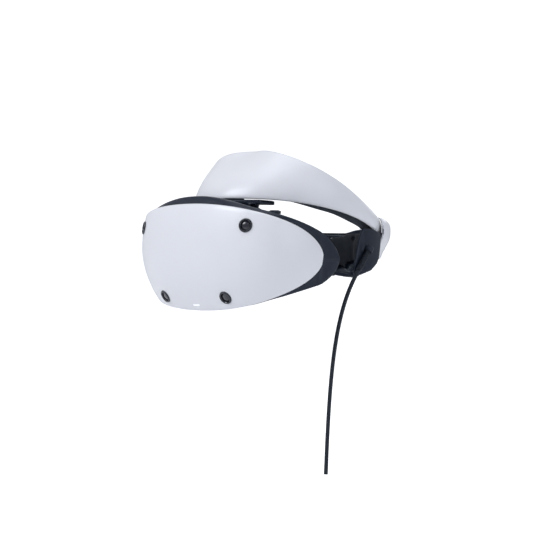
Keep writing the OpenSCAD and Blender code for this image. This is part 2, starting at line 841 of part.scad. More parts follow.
// A rib under each end of the bridge, whose outer side sweeps up to the bridge's tip.
module bridge_rib(side) {
    reach = bridge_half_w - rail_x - 1;
    drop = 5.6;
    translate([side * (rail_x + 1), front_y + 50, bridge_low + 0.1])
        rotate([90, 0, 0])
            linear_extrude(3, center = true)
                polygon(concat(
                    [[0, 0], [0, -drop]],
                    [for (k = [0:8]) [side * reach * (1 - cos(11.25 * k)), -drop * (1 - sin(11.25 * k))]]
                ));
}
// An oval plate about the band's centre.
module oval(a, b, low, high) {
    translate([0, -band_shift, low])
        linear_extrude(high - low)
            polygon([for (k = [0:71]) [a * cos(5 * k), b * sin(5 * k)]]);
}
module slide_rails() {
    color(metal)
        for (s = [-1, 1])
            difference() {
                span([s * rail_x - 3, front_y + 24, rail_z], [s * rail_x + 3, front_y + 60.3, rail_z + 3.5]);
                for (k = [0:5])
                    span(
                        [s * rail_x - 4, front_y + 27 + 5 * k, rail_z - 1],
                        [s * rail_x + 4, front_y + 29 + 5 * k, rail_z + 1.3]
                    );
            }
}
module band_screws() {
    color(metal)
        for (s = [-1, 1])
            translate([s * band_screw.x, band_screw.y, bridge_low - 1.4]) {
                cylinder(r = 2.4, h = 1.3);
                cylinder(r = 1.2, h = 5.4);
            }
}

// --- Rear unit ---

module rear_arc(profile, from_a, to_a) {
    translate([0, rear_y, 0])
        rotate(from_a)
            rotate_extrude(angle = to_a - from_a)
                polygon(profile);
}
rear_back = rear_y + rear_r;
shell_from = 20;
shell_low = 5.5;
shell_high = 45.2;
fixing_a = 28;
fixing_z = 25.7;
// Places a child whose +Z points outwards from the rear arc's axis, on both sides.
module at_fixings(radius) {
    for (s = [-1, 1])
        translate([0, rear_y, fixing_z])
            rotate(s * fixing_a)
                translate([0, radius, 0])
                    rotate([-90, 0, 0])
                        children();
}
module rear_shell() {
    r = rear_r;
    top = [[-90, 0], [90, 0], [90, shell_high], [67, shell_high], [63, 42.5], [58, 39.7], [51, 35.5], [44, 32.2],
        [35, 32.2], [26, 33], [14, 36], [0, 37]];
    color(white)
        difference() {
            union() {
                intersection() {
                    rear_arc([
                        [r - 9.6, shell_low], [r - 8.1, 9], [r - 6.2, 14], [r - 3.4, 19], [r - 1.1, 24], [r, 30],
                        [r - 0.3, 37], [r - 1.5, 41.5], [r - 3.4, 44.2], [r - 5, shell_high],
                        [r - 5.8, shell_high - 1.6], [r - 4.4, 42.2], [r - 3.3, 39], [r - 2.4, 35], [r - 2.2, 30],
                        [r - 3.4, 25], [r - 5.6, 20.4], [r - 8.3, 15.2], [r - 10.3, 10], [r - 11.4, 6.6]
                    ], shell_from, 180 - shell_from);
                    rotate([90, 0, 0])
                        translate([0, 0, -140])
                            linear_extrude(140)
                                polygon(concat(top, [for (k = [len(top) - 2:-1:3]) [-top[k].x, top[k].y]], [[-90, shell_high]]));
                }
                at_fixings(strip_r + 1.6)
                    cylinder(r = 2.8, h = rear_r - strip_r - 3.2);
            }
            rod_y([0, rear_y + 50, dial_z], boss_r + 0.1, 60);
            at_fixings(60)
                cylinder(r = 1.2, h = rear_r - 62.2);
        }
}
boss_r = 7.8;

// The housing: a bowl-shaped wall that dips in the middle, an upper wall and two side wings.
wing_r = 75;
wing_wall = 2.4;
function bowl_low(a) = 3 * smooth(abs(a - 90) / 30) - 12.8;
function bowl_lip(a) = 57 - 7 * smooth(abs(a - 90) / 30);
module arc_skin(from_a, to_a, steps, sections) {
    skin([
        for (i = [0:steps])
            let (a = lerp(from_a, to_a, i / steps))
                [for (p = sections[i]) [p.x * cos(a), rear_y + p.x * sin(a), p.y]]
    ]);
}
bowl_steps = 40;
function bowl_section(a) =
    let (low = bowl_low(a), lip = bowl_lip(a))
        [
            [lip - 2.4, low], [lip, low], [lerp(lip, 61.2, 0.62), low * 0.55], [61.2, 0], [63, 4.5], [64.3, 11], [64.4, 17],
            [62.4, 17], [62.3, 11.5], [61.2, 6.2], [59.4, 2.2], [lerp(lip, 59.4, 0.6) - 1.2, lerp(low + 3.4, 2.2, 0.45)],
            [lip - 0.4, low + 4.6], [lip - 2.4, low + 4.2]
        ];
module rear_housing() {
    wing = [
        [17, 32.8], [14, 27], [12, 20.5], [7, -6.5], [7.7, -10.5], [10.2, -12.8], [17, -11.3], [30.3, -6.8],
        [39.2, 0], [42.8, 5], [44.6, 14], [45.5, 25], [45.5, 28], [33, 32.8]
    ];
    color(dark)
        difference() {
            union() {
                arc_skin(18, 162, bowl_steps, [for (i = [0:bowl_steps]) bowl_section(lerp(18, 162, i / bowl_steps))]);
                rear_arc([[63, 15], [65.2, 15], [65.2, 30.6], [63, 30.6]], 48, 132);
                rear_arc([[63.4, 10.4], [65.8, 10.4], [65.8, 13], [63.4, 13]], 22, 158);
                intersection() {
                    difference() {
                        translate([0, rear_y, -30])
                            cylinder(r = wing_r, h = 90);
                        translate([0, rear_y, -31])
                            cylinder(r = wing_r - wing_wall, h = 92);
                    }
                    rotate([90, 0, 90])
                        translate([0, 0, -100])
                            linear_extrude(200)
                                polygon(wing);
                }
                for (s = [0, 1])
                    mirror([s, 0, 0]) {
                        rear_arc([[62.6, 4.6], [wing_r - 1, 4.6], [wing_r - 1, 10], [62.6, 10]], 8, 14);
                        rear_arc([[62.6, 4.6], [64.3, 7], [64.3, 16], [62.6, 16]], 8, 20);
                    }
                at_relief()
                    translate([0, 0, -3])
                        cylinder(r = 4.1, h = 6);
                jack_place(-11.4)
                    cylinder(r = 4.6, h = 16);
            }
            at_relief()
                cylinder(r = 3, h = relief_len);
            rod_y([0, rear_y + 55, dial_z], 2.8, 20);
            jack_place(-13)
                cylinder(r = 3.5, h = 30);
            at_fixings(60)
                cylinder(r = 1.2, h = 8);
        }
}

function pad_high(a) = 31.4 + 3 * exp(-pow((a - 90) / 12, 2)) - 15.4 * smooth((abs(a - 90) - 39) / 8);
function pad_section(a) =
    let (low = bowl_low(a), lip = bowl_lip(a), high = pad_high(a), back = min(12, high - 3))
        [
            [lip - 1, low + 6.2], [lerp(lip, 59.4, 0.6) - 1.8, lerp(low + 3.4, 2.2, 0.45) + 1.2], [58.6, 3.2], [60.6, 7.4],
            [61.6, back], [61.6, high - 1.4], [60.4, high], [58, high - 0.4], [55.8, high - 4], [55, (low + high) / 2],
            [min(55.4, lip - 2), low + 8.4]
        ];
module rear_pad() {
    color(dark)
        difference() {
            arc_skin(30, 150, 36, [for (i = [0:36]) pad_section(lerp(30, 150, i / 36))]);
            rod_y([0, rear_y + 50, dial_z], 2.8, 20);
            jack_place(-13)
                cylinder(r = 4.8, h = 18);
        }
}

module adjust_dial() {
    ribs = 60;
    color([0.88, 0.89, 0.92])
        difference() {
            union() {
                translate([0, rear_back + 1, dial_z])
                    rotate([-90, 0, 0])
                        linear_extrude(11.1)
                            polygon([for (k = [0:2 * ribs - 1]) (k % 2 == 0 ? dial_r : dial_r - 0.5)
                                * [cos(180 / ribs * k), sin(180 / ribs * k)]]);
                translate([0, rear_back + 12, dial_z])
                    rotate([-90, 0, 0])
                        cylinder(r1 = dial_r - 0.9, r2 = dial_r - 2.4, h = 1.6);
                rod_y([0, rear_back - 2.6, dial_z], boss_r, 4);
            }
            rod_y([0, rear_back - 10, dial_z], 2.65, 40);
            rod_y([0, rear_back + 5.5, dial_z], 10.2, 40);
        }
}
dial_teeth = 10;
dial_module = 2 * pinion_r / dial_teeth;
gear_y = rear_y + strip_r - 1.6;
module dial_pinion() {
    color([0.85, 0.85, 0.82])
        difference() {
            union() {
                rod_y([0, gear_y - 5, dial_z], 2.6, rear_back + 5 - gear_y + 5);
                translate([0, gear_y, dial_z])
                    rotate([-90, 0, 0])
                        rotate(dial_phase)
                            pinion(pinion_r, dial_teeth, 3.2);
            }
            rod_y([0, gear_y - 10, dial_z], 1.6, 60);
        }
}
dial_phase = 90 - 180 / dial_teeth;
// A curved strip with teeth on one edge, in step with the pinion at the middle of the back.
strip_step = dial_module * 180 / strip_r;
module toothed_strip(from_a, to_a, up) {
    z = dial_z - up * pinion_r;
    first = ceil((from_a + 1 - 90) / strip_step);
    last = floor((to_a - 1 - 90) / strip_step);
    rear_arc(
        up > 0 ? [[strip_r - 1, z - 2.6], [strip_r + 1, z - 2.6], [strip_r + 1, z - 0.8], [strip_r - 1, z - 0.8]]
        : [[strip_r - 1, z + 0.8], [strip_r + 1, z + 0.8], [strip_r + 1, z + 2.6], [strip_r - 1, z + 2.6]],
        from_a, to_a
    );
    for (k = [first:last])
        translate([0, rear_y, z])
            rotate(strip_step * k + 90)
                translate([strip_r - 0.9, 0, 0])
                    rotate([90, 0, 90])
                        linear_extrude(1.8)
                            mirror([0, up > 0 ? 0 : 1])
                                tooth_row(dial_module, 1);
}
strip_from = 82;
strip_to = 130;
module left_toothed_strip() { color([0.85, 0.85, 0.82]) toothed_strip(strip_from, strip_to, -1); }
module right_toothed_strip() { color([0.85, 0.85, 0.82]) toothed_strip(180 - strip_to, 180 - strip_from, 1); }

module size_release_button() {
    color([0.75, 0.76, 0.8]) {
        rod_y([0, rear_back + 8.2, dial_z], 9.9, 5.9);
        rod_y([0, gear_y - 6, dial_z], 1.5, rear_back + 8.5 - gear_y + 6);
    }
}
// A wave washer pushes the release button back out.
module size_release_spring() {
    color(metal)
        translate([0, rear_back + 5.6, dial_z])
            rotate([-90, 0, 0])
                difference() {
                    cylinder(r = 6, h = 0.6);
                    translate([0, 0, -1])
                        cylinder(r = 3.6, h = 4);
                }
}

jack_a = 118;
jack_arc = 60;
jack_r = 1.85;
jack_depth = 14;
// Places a child on the headphone socket's axis, at the given height.
module jack_place(z) {
    translate([jack_arc * cos(jack_a), rear_y + jack_arc * sin(jack_a), z])
        children();
}
module headphone_jack() {
    color([0.15, 0.15, 0.17])
        jack_place(-11)
            difference() {
                cylinder(r = 3.4, h = jack_depth + 1);
                translate([0, 0, -1])
                    cylinder(r = jack_r, h = jack_depth + 1);
            }
}
module rear_screws() {
    color(metal) {
        at_fixings(61.7)
            cylinder(r = 2.2, h = 1.2);
        at_fixings(62.8)
            cylinder(r = 1.1, h = 11);
    }
}

// The cable leaves the left wing and eases from a forward slant to a straight drop.
cable_x = 78;
cable_from = [22.3, 12.9];
relief_len = 24.5;
relief_dir = [-0.55, -0.835];
cable_top = cable_from + relief_len * relief_dir;
cable_swing = 36.8;
cable_ease = 49;
function cable_at(z) = [cable_x, cable_top.x - cable_swing * (1 - exp((z - cable_top.y) / cable_ease)), z];
relief_ribs = 11;
module at_relief() {
    translate([cable_x, cable_from.x, cable_from.y])
        rotate([180 - atan2(-relief_dir.x, -relief_dir.y), 0, 0])
            children();
}
module strain_relief() {
    color(dark)
        at_relief()
            difference() {
                union() {
                    cylinder(r = 2.35, h = relief_len);
                    for (k = [0:relief_ribs - 1])
                        translate([0, 0, 0.4 + k * 2.2])
                            cylinder(r = 2.9, h = 1.3);
                }
                translate([0, 0, 2])
                    cylinder(r = cable_r + 0.1, h = relief_len);
            }
}
cable_rows = 30;
module cable() {
    sides = 12;
    color([0.06, 0.06, 0.08])
        skin([
            for (i = [0:cable_rows])
                let (
                    z = lerp(cable_top.y - 0.5, cable_end_z, pow(i / cable_rows, 1.4)),
                    c = cable_at(z), d = (cable_at(z - 1) - c) / norm(cable_at(z - 1) - c),
                    u = [0, d.z, -d.y]
                )
                    [for (k = [0:sides - 1]) c + cable_r * (u * cos(360 * k / sides) + [1, 0, 0] * sin(360 * k / sides))]
        ]);
}

front_cover();
front_frame();
rear_case();
camera_bezels();
camera_lenses();
camera_modules();
status_light();
main_board();
heat_sink();
fan_housing();
fan_rotor();
guide_rods();
gear_bridge();
left_lens_barrel();
right_lens_barrel();
left_lens();
right_lens();
left_display();
right_display();
left_tracking_ring();
right_tracking_ring();
left_rack();
right_rack();
centre_pinion();
ipd_dial();
ipd_dial_pinion();
vibration_motor();
vibration_weight();
power_button();
function_button();
button_springs();
scope_release_button();
scope_latch();
scope_release_spring();
light_shield();
nose_flaps();
proximity_window();
case_screws();
front_band_shell();
band_liner();
forehead_pad();
forehead_bridge();
slide_rails();
side_straps();
band_screws();
rear_shell();
rear_housing();
rear_pad();
adjust_dial();
dial_pinion();
left_toothed_strip();
right_toothed_strip();
size_release_button();
size_release_spring();
headphone_jack();
strain_relief();
cable();
rear_screws();
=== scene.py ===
"""The looks of a head-worn display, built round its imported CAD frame.

Lengths in the shape functions are millimetres, and new_object() turns them into metres. The wearer
faces -Y, +Z is up, and angles are in degrees.
"""

import json
import math

import bmesh
import bpy
from mathutils import Matrix, Vector


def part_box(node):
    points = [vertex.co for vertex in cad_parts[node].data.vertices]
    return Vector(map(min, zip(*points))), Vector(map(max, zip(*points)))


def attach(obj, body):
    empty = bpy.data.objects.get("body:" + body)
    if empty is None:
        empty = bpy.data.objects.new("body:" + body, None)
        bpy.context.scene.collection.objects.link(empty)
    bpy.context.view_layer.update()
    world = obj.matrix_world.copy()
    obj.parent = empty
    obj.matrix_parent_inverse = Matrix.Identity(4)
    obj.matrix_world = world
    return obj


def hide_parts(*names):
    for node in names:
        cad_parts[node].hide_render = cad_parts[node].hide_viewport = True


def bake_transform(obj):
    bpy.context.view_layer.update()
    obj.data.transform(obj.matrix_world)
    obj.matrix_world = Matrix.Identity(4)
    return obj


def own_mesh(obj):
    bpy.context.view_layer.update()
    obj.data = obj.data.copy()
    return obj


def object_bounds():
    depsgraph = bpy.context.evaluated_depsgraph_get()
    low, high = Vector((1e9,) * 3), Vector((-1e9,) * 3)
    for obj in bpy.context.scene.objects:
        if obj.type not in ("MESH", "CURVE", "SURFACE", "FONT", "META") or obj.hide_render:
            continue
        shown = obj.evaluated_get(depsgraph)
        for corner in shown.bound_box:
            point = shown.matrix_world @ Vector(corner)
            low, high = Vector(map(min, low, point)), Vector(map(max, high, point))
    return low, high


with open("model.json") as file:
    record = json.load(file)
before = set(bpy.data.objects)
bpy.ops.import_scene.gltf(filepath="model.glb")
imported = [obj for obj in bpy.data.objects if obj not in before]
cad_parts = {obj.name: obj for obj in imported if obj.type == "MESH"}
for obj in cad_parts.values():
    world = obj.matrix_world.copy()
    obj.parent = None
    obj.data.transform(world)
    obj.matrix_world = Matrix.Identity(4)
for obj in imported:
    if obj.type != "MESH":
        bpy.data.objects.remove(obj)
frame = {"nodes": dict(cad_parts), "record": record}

MM = 0.001
# The angles of the points between the two faces on a rounded rim.
RIM_ANGLES = [30 * k for k in range(1, 6)]
cad_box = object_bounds()
scene = bpy.context.scene


# --- Small helpers ---


def lerp(a, b, t):
    """The value that is share t of the way from a to b."""
    return a + (b - a) * t


def clamp01(t):
    """t held between 0 and 1."""
    return max(0.0, min(1.0, t))


def ease(t):
    """A smooth step from 0 to 1."""
    t = clamp01(t)
    return t * t * (3 - 2 * t)


def spow(value, power):
    """A power that keeps the value's sign."""
    return math.copysign(abs(value) ** power, value)


def sind(angle):
    return math.sin(math.radians(angle))


def cosd(angle):
    return math.cos(math.radians(angle))


def box_mm(node):
    """A CAD node's low and high corners in millimetres."""
    low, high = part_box(node)
    return low / MM, high / MM


def through(stops, t):
    """The value at t of a smooth curve through (t, value) stops."""
    if t <= stops[0][0]:
        return stops[0][1]
    for k in range(len(stops) - 1):
        if t <= stops[k + 1][0]:
            break
    else:
        return stops[-1][1]
    (t0, v0), (t1, v1) = stops[k], stops[k + 1]
    before = stops[max(0, k - 1)]
    after = stops[min(len(stops) - 1, k + 2)]
    m0 = (v1 - before[1]) / (t1 - before[0])
    m1 = (after[1] - v0) / (after[0] - t0)
    span, u = t1 - t0, (t - t0) / (t1 - t0)
    return (
        v0 * (2 * u**3 - 3 * u**2 + 1)
        + span * m0 * (u**3 - 2 * u**2 + u)
        + v1 * (3 * u**2 - 2 * u**3)
        + span * m1 * (u**3 - u**2)
    )


def fair(points, per_span):
    """A denser curve through 2-D points."""
    us = [(k, p[0]) for k, p in enumerate(points)]
    vs = [(k, p[1]) for k, p in enumerate(points)]
    last = (len(points) - 1) * per_span
    return [(through(us, k / per_span), through(vs, k / per_span)) for k in range(last + 1)]


# --- Mesh helpers ---


def outward(mesh):
    """Turns all faces of a closed mesh outwards."""
    shape = bmesh.new()
    shape.from_mesh(mesh)
    bmesh.ops.recalc_face_normals(shape, faces=shape.faces)
    shape.to_mesh(mesh)
    shape.free()


def shade(made, sharp=35):
    """Smooth shading with edges sharper than the given angle left crisp."""
    made.data.shade_smooth()
    made.data.set_sharp_from_angle(angle=math.radians(sharp))


def new_object(name, points, faces):
    """A mesh object from points in millimetres."""
    mesh = bpy.data.meshes.new(name)
    mesh.from_pydata([Vector(p) * MM for p in points], [], faces)
    outward(mesh)
    made = bpy.data.objects.new(name, mesh)
    scene.collection.objects.link(made)
    shade(made)
    return made


def skin_faces(rows, cols, ring):
    """Faces between neighbouring loops, with two end caps unless the loops make a ring."""
    faces = []
    for i in range(rows if ring else rows - 1):
        for j in range(cols):
            a, b = i * cols + j, i * cols + (j + 1) % cols
            c, d = ((i + 1) % rows) * cols + (j + 1) % cols, ((i + 1) % rows) * cols + j
            faces.append((a, b, c, d))
    if not ring:
        faces.append(tuple(range(cols)))
        faces.append(tuple(range((rows - 1) * cols, rows * cols)))
    return faces


def skin(name, loops, ring=False):
    """A closed solid through closed loops that have the same number of points."""
    points = [p for loop in loops for p in loop]
    return new_object(name, points, skin_faces(len(loops), len(loops[0]), ring))


def prism(outline, low, high, place):
    """A straight solid on an outline, from low to high along the place's +Z. It is a cutting tool."""
    loops = [[place @ Vector((x, y, z)) for x, y in outline] for z in (low, high)]
    return skin("tool", loops)


def circle(r, count=48):
    return [(r * cosd(360 * k / count), r * sind(360 * k / count)) for k in range(count)]


def oblong(half_x, half_y):
    """A rectangle's corners, from its half sides."""
    return [(-half_x, -half_y), (half_x, -half_y), (half_x, half_y), (-half_x, half_y)]


def bake(made):
    """Makes a mesh's modifiers part of it."""
    graph = bpy.context.evaluated_depsgraph_get()
    mesh = bpy.data.meshes.new_from_object(made.evaluated_get(graph))
    made.modifiers.clear()
    made.data = mesh


def cut(made, *tools):
    """Takes the tools out of a mesh and removes them from the scene."""
    for tool in tools:
        step = made.modifiers.new("cut", "BOOLEAN")
        step.operation = "DIFFERENCE"
        step.solver = "EXACT"
        step.object = tool
        bake(made)
        bpy.data.objects.remove(tool)
    shade(made)


def soften(made, width, angle):
    """Rounds edges sharper than the angle."""
    step = made.modifiers.new("round", "BEVEL")
    step.width = width * MM
    step.segments = 3
    step.limit_method = "ANGLE"
    step.angle_limit = math.radians(angle)
    step.harden_normals = True


def along_y(x=0, z=0):
    """A place whose +Z is the frame's +Y and whose +Y is the frame's -Z."""
    return Matrix.Translation((x, 0, z)) @ Matrix.Rotation(math.radians(-90), 4, "X")


# --- Finishes, one for each of the record's material slots ---

# Most of a noise texture's values lie in this range.
NOISE_LOW, NOISE_HIGH = 0.3, 0.7
# A wave texture has one wave in this length, in metres, at scale 1.
WAVE_LENGTH = 0.314


class Finish:
    """Builds a procedural material: a base colour, grain, uneven gloss and faint wear."""

    def __init__(self, name, colour, rough):
        self.material = bpy.data.materials.new(name)
        self.material.use_nodes = True
        self.nodes = self.material.node_tree.nodes
        self.links = self.material.node_tree.links
        self.shader = self.nodes["Principled BSDF"]
        self.place = self.nodes.new("ShaderNodeTexCoord").outputs["Object"]
        self.colour = (*colour, 1)
        self.shader.inputs["Base Color"].default_value = self.colour
        self.shader.inputs["Roughness"].default_value = rough
        self.rough = rough

    def set(self, **values):
        """Sets shader inputs by name, with _ for a space."""
        for key, value in values.items():
            self.shader.inputs[key.replace("_", " ")].default_value = value
        return self

    def noise(self, scale, detail=2.0, stretch=(1, 1, 1)):
        """The output of a noise texture in the piece's own space."""
        node = self.nodes.new("ShaderNodeTexNoise")
        node.inputs["Scale"].default_value = scale
        node.inputs["Detail"].default_value = detail
        turn = self.nodes.new("ShaderNodeMapping")
        turn.inputs["Scale"].default_value = stretch
        self.links.new(self.place, turn.inputs["Vector"])
        self.links.new(turn.outputs["Vector"], node.inputs["Vector"])
        return node.outputs["Fac"]

    def spread(self, source, low, high):
        """Maps the middle of a noise's range onto low to high."""
        node = self.nodes.new("ShaderNodeMapRange")
        node.inputs["From Min"].default_value = NOISE_LOW
        node.inputs["From Max"].default_value = NOISE_HIGH
        node.inputs["To Min"].default_value = low
        node.inputs["To Max"].default_value = high
        self.links.new(source, node.inputs["Value"])
        return node.outputs["Result"]

    def grain(self, scale, depth_mm, stretch=(1, 1, 1)):
        """Fine bumps."""
        node = self.nodes.new("ShaderNodeBump")
        node.inputs["Distance"].default_value = depth_mm * MM
        self.links.new(self.noise(scale, 3, stretch), node.inputs["Height"])
        self.links.new(node.outputs["Normal"], self.shader.inputs["Normal"])
        return self

    def weave(self, pitch_mm, depth_mm):
        """Crossed fine waves, as on a knitted or coated cloth."""
        waves = []
        for axis in ("X", "Z"):
            node = self.nodes.new("ShaderNodeTexWave")
            node.bands_direction = axis
            node.inputs["Scale"].default_value = WAVE_LENGTH / (pitch_mm * MM)
            node.inputs["Distortion"].default_value = 0.6
            self.links.new(self.place, node.inputs["Vector"])
            waves.append(node.outputs["Fac"])
        joined = self.nodes.new("ShaderNodeMath")
        joined.operation = "MULTIPLY"
        self.links.new(waves[0], joined.inputs[0])
        self.links.new(waves[1], joined.inputs[1])
        bump = self.nodes.new("ShaderNodeBump")
        bump.inputs["Distance"].default_value = depth_mm * MM
        self.links.new(joined.outputs["Value"], bump.inputs["Height"])
        self.links.new(bump.outputs["Normal"], self.shader.inputs["Normal"])
        return self

    def wear(self, amount=0.05, scale=40.0):
        """Uneven gloss, and a colour that drifts a little over the surface."""
        patches = self.noise(scale)
        low, high = max(0.02, self.rough - amount), self.rough + amount
        self.links.new(self.spread(patches, low, high), self.shader.inputs["Roughness"])
        mix = self.nodes.new("ShaderNodeMix")
        mix.data_type = "RGBA"
        mix.inputs["A"].default_value = tuple(c * (1 - amount * 0.5) for c in self.colour[:3]) + (1,)
        mix.inputs["B"].default_value = self.colour
        self.links.new(self.spread(self.noise(scale * 0.4), 0, 1), mix.inputs["Factor"])
        self.links.new(mix.outputs["Result"], self.shader.inputs["Base Color"])
        return self


BLUE_SHEEN = (0.80, 0.88, 1, 1)
COAT_ROUGHNESS = 0.22


def satin(name, colour, rough, grain_mm, coat=0.0, shine=0.5):
    """Moulded plastic, rubber or glass, with a cool highlight and perhaps a clear coat."""
    made = Finish(name, colour, rough).grain(1400, grain_mm).wear(0.04)
    made.set(Specular_IOR_Level=shine, Specular_Tint=BLUE_SHEEN)
    return made.set(Coat_Weight=coat, Coat_Roughness=COAT_ROUGHNESS).material


def metal(name, colour, rough):
    """Metal with a drawn grain."""
    made = Finish(name, colour, rough).grain(500, 0.012, (1, 1, 12)).wear(0.06, 90)
    return made.set(Metallic=1.0).material


def cloth(name, colour):
    """Coated cloth with a fine weave."""
    made = Finish(name, colour, 0.88).weave(0.9, 0.08).wear(0.06, 60)
    return made.set(Sheen_Weight=0.12, Sheen_Roughness=0.5, Specular_IOR_Level=0.25).material


def clear(name, colour):
    """Clear moulded plastic."""
    return Finish(name, colour, 0.04).grain(700, 0.002).set(Transmission_Weight=0.9, IOR=1.49).material


def glow(name, colour, strength):
    """A light guide that glows."""
    made = Finish(name, colour, 0.4).grain(900, 0.004)
    return made.set(Emission_Color=(*colour, 1), Emission_Strength=strength).material


FINISHES = {
    "white_shell": satin("white_shell", (0.80, 0.82, 0.88), 0.34, 0.010, 0.35),
    "black_shell": satin("black_shell", (0.009, 0.014, 0.027), 0.38, 0.020, 0, 0.38),
    "black_part": satin("black_part", (0.018, 0.021, 0.031), 0.45, 0.020, 0, 0.4),
    "black_gloss": satin("black_gloss", (0.012, 0.013, 0.020), 0.16, 0.002, 0.5),
    "lens_glass": satin("lens_glass", (0.006, 0.006, 0.014), 0.06, 0.001, 1.0),
    "clear_lens": clear("clear_lens", (0.85, 0.90, 0.95)),
    "display": satin("display", (0.008, 0.008, 0.014), 0.08, 0.001, 1.0),
    "light_guide": glow("light_guide", (0.92, 0.95, 1.0), 0.4),
    "board_green": satin("board_green", (0.02, 0.12, 0.06), 0.4, 0.010),
    "metal_part": metal("metal_part", (0.60, 0.61, 0.63), 0.32),
    "spring_metal": metal("spring_metal", (0.55, 0.56, 0.58), 0.28),
    "brass_part": metal("brass_part", (0.62, 0.46, 0.22), 0.3),
    "pale_plastic": satin("pale_plastic", (0.72, 0.71, 0.66), 0.45, 0.010),
    "grey_plastic": satin("grey_plastic", (0.40, 0.42, 0.47), 0.4, 0.010),
    "black_rubber": satin("black_rubber", (0.010, 0.013, 0.021), 0.50, 0.030, 0, 0.4),
}
PAD_CLOTH = cloth("pad_cloth", (0.006, 0.009, 0.015))
STRAP_CLOTH = cloth("strap_cloth", (0.006, 0.008, 0.012))
NODE_SLOTS = {part["node"]: part["material_slot"] for part in frame["record"]["subparts"]}


def dress(made, body, nodes, look=None):
    """Gives a finished mesh its material, hides the CAD nodes that it stands for and, if named, gives it
    its body.
    """
    name = NODE_SLOTS[nodes[0]]
    made.data.materials.clear()
    made.data.materials.append(look or FINISHES[name])
    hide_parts(*nodes)
    if body:
        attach(made, body)
    return made


# --- Curves that the outer surfaces follow ---

# The visor: how far its foremost point is ahead of the origin, its size, and the height of that point.
FRONT = -box_mm("front_cover")[0].y
VISOR_HALF_W = 105.5
VISOR_DEPTH = 82
VISOR_HALF_H = 49
VISOR_WALL = 2.4
NOSE_Z = 12
# Radii of the visor's curve in side view, above and below that point, and its power curve in plan.
UPPER_BULGE = 127
LOWER_BULGE = 77
PLAN_POWER = 2.75
# The rear case: how far it runs back past the visor, its size, and the extra height of its middle.
CASE_TAIL = 22
CASE_HALF_H = 50
CASE_CROWN = 6.6
CASE_CROWN_REACH = 90
CASE_FLATTER = 3.6
CASE_DEPTH = 54
CASE_WALL = 2.2


def visor_plan(angle):
    """The visor's plan line, from 0 degrees at the nose to 90 at the side."""
    root = 2 / PLAN_POWER
    return Vector(
        (VISOR_HALF_W * spow(sind(angle), root), VISOR_DEPTH * (1 - spow(cosd(angle), root)) - FRONT)
    )


def bulge(z):
    """How far the visor's face has drawn back at a height."""
    radius = UPPER_BULGE if z > NOSE_Z else LOWER_BULGE
    return (z - NOSE_Z) ** 2 / (2 * radius)


# Stations along the plan line. They stop short of 90 degrees, and of the tail's full length.
ARC_STATIONS = 132
TAIL_STEPS = 14
TIP_ANGLE = 86
TAIL_PART = 0.97


def tail_point(side, k):
    """A point of the plan line past the visor's ends, along the rear case's side."""
    y = VISOR_DEPTH - FRONT + CASE_TAIL * sind(90 * k / TAIL_STEPS) * TAIL_PART
    return Vector((side * VISOR_HALF_W, y))


PLAN = [tail_point(-1, k) for k in range(TAIL_STEPS, 0, -1)]
PLAN += [
    visor_plan(90 * sind(lerp(-TIP_ANGLE, TIP_ANGLE, i / ARC_STATIONS)))
    for i in range(ARC_STATIONS + 1)
]
PLAN += [tail_point(1, k) for k in range(1, TAIL_STEPS + 1)]
MIDDLE = len(PLAN) // 2
# Each station's distance along the plan line from the middle, and where the visor and case end.
RUN = [0.0]
for k in range(1, len(PLAN)):
    RUN.append(RUN[-1] + (PLAN[k] - PLAN[k - 1]).length)
RUN = [abs(r - RUN[MIDDLE]) for r in RUN]
VISOR_RUN = RUN[TAIL_STEPS] + 1
CASE_RUN = RUN[0] + 0.6


def normal_at(i):
    """The plan line's outward normal."""
    step = PLAN[min(len(PLAN) - 1, i + 1)] - PLAN[max(0, i - 1)]
    return Vector((step.y, -step.x)).normalized()


NORMALS = [normal_at(i) for i in range(len(PLAN))]


def on_section(i, n, z):
    """The point at plan station i that is n outside the plan line, at height z."""
    at = PLAN[i] + NORMALS[i] * n
    return (at.x, at.y, z)


# In the functions below, q is the distance along the plan line from the middle.


def visor_h(q):
    """The visor's half height."""
    return VISOR_HALF_H * math.sqrt(max(0, 1 - (q / VISOR_RUN) ** 2))


def case_arch(q):
    """The rear case's outline as a share of its half height."""
    return math.sqrt(max(0, 1 - (q / CASE_RUN) ** 2))


def case_top(q):
    """How high the rear case is."""
    return CASE_HALF_H * case_arch(q) + CASE_CROWN * max(0, 1 - (q / CASE_CROWN_REACH) ** 2) ** 2


def case_bottom(q):
    """How deep the rear case is, below the origin."""
    return (CASE_HALF_H - CASE_FLATTER) * case_arch(q)


def tail_share(q):
    """How far along the case's tail a station is, from 0 to 1."""
    return clamp01((q - VISOR_RUN) / (CASE_RUN - VISOR_RUN))


def case_in(q):
    """How far the rear case's back is from the plan line."""
    return CASE_DEPTH - 30 * (min(q, VISOR_RUN) / VISOR_RUN) ** 2 - 12 * tail_share(q)


def lip_in(q):
    """How wide the frame's visible lip is."""
    return 15 - 8 * (min(q, VISOR_RUN) / VISOR_RUN) ** 2 - 2 * tail_share(q)


def frame_gap(q):
    """The gap between the plan line and the frame's front."""
    return lerp(4.6, 3, clamp01((q - 110) / 36)) - 1.5 * clamp01((q - VISOR_RUN) / 10)


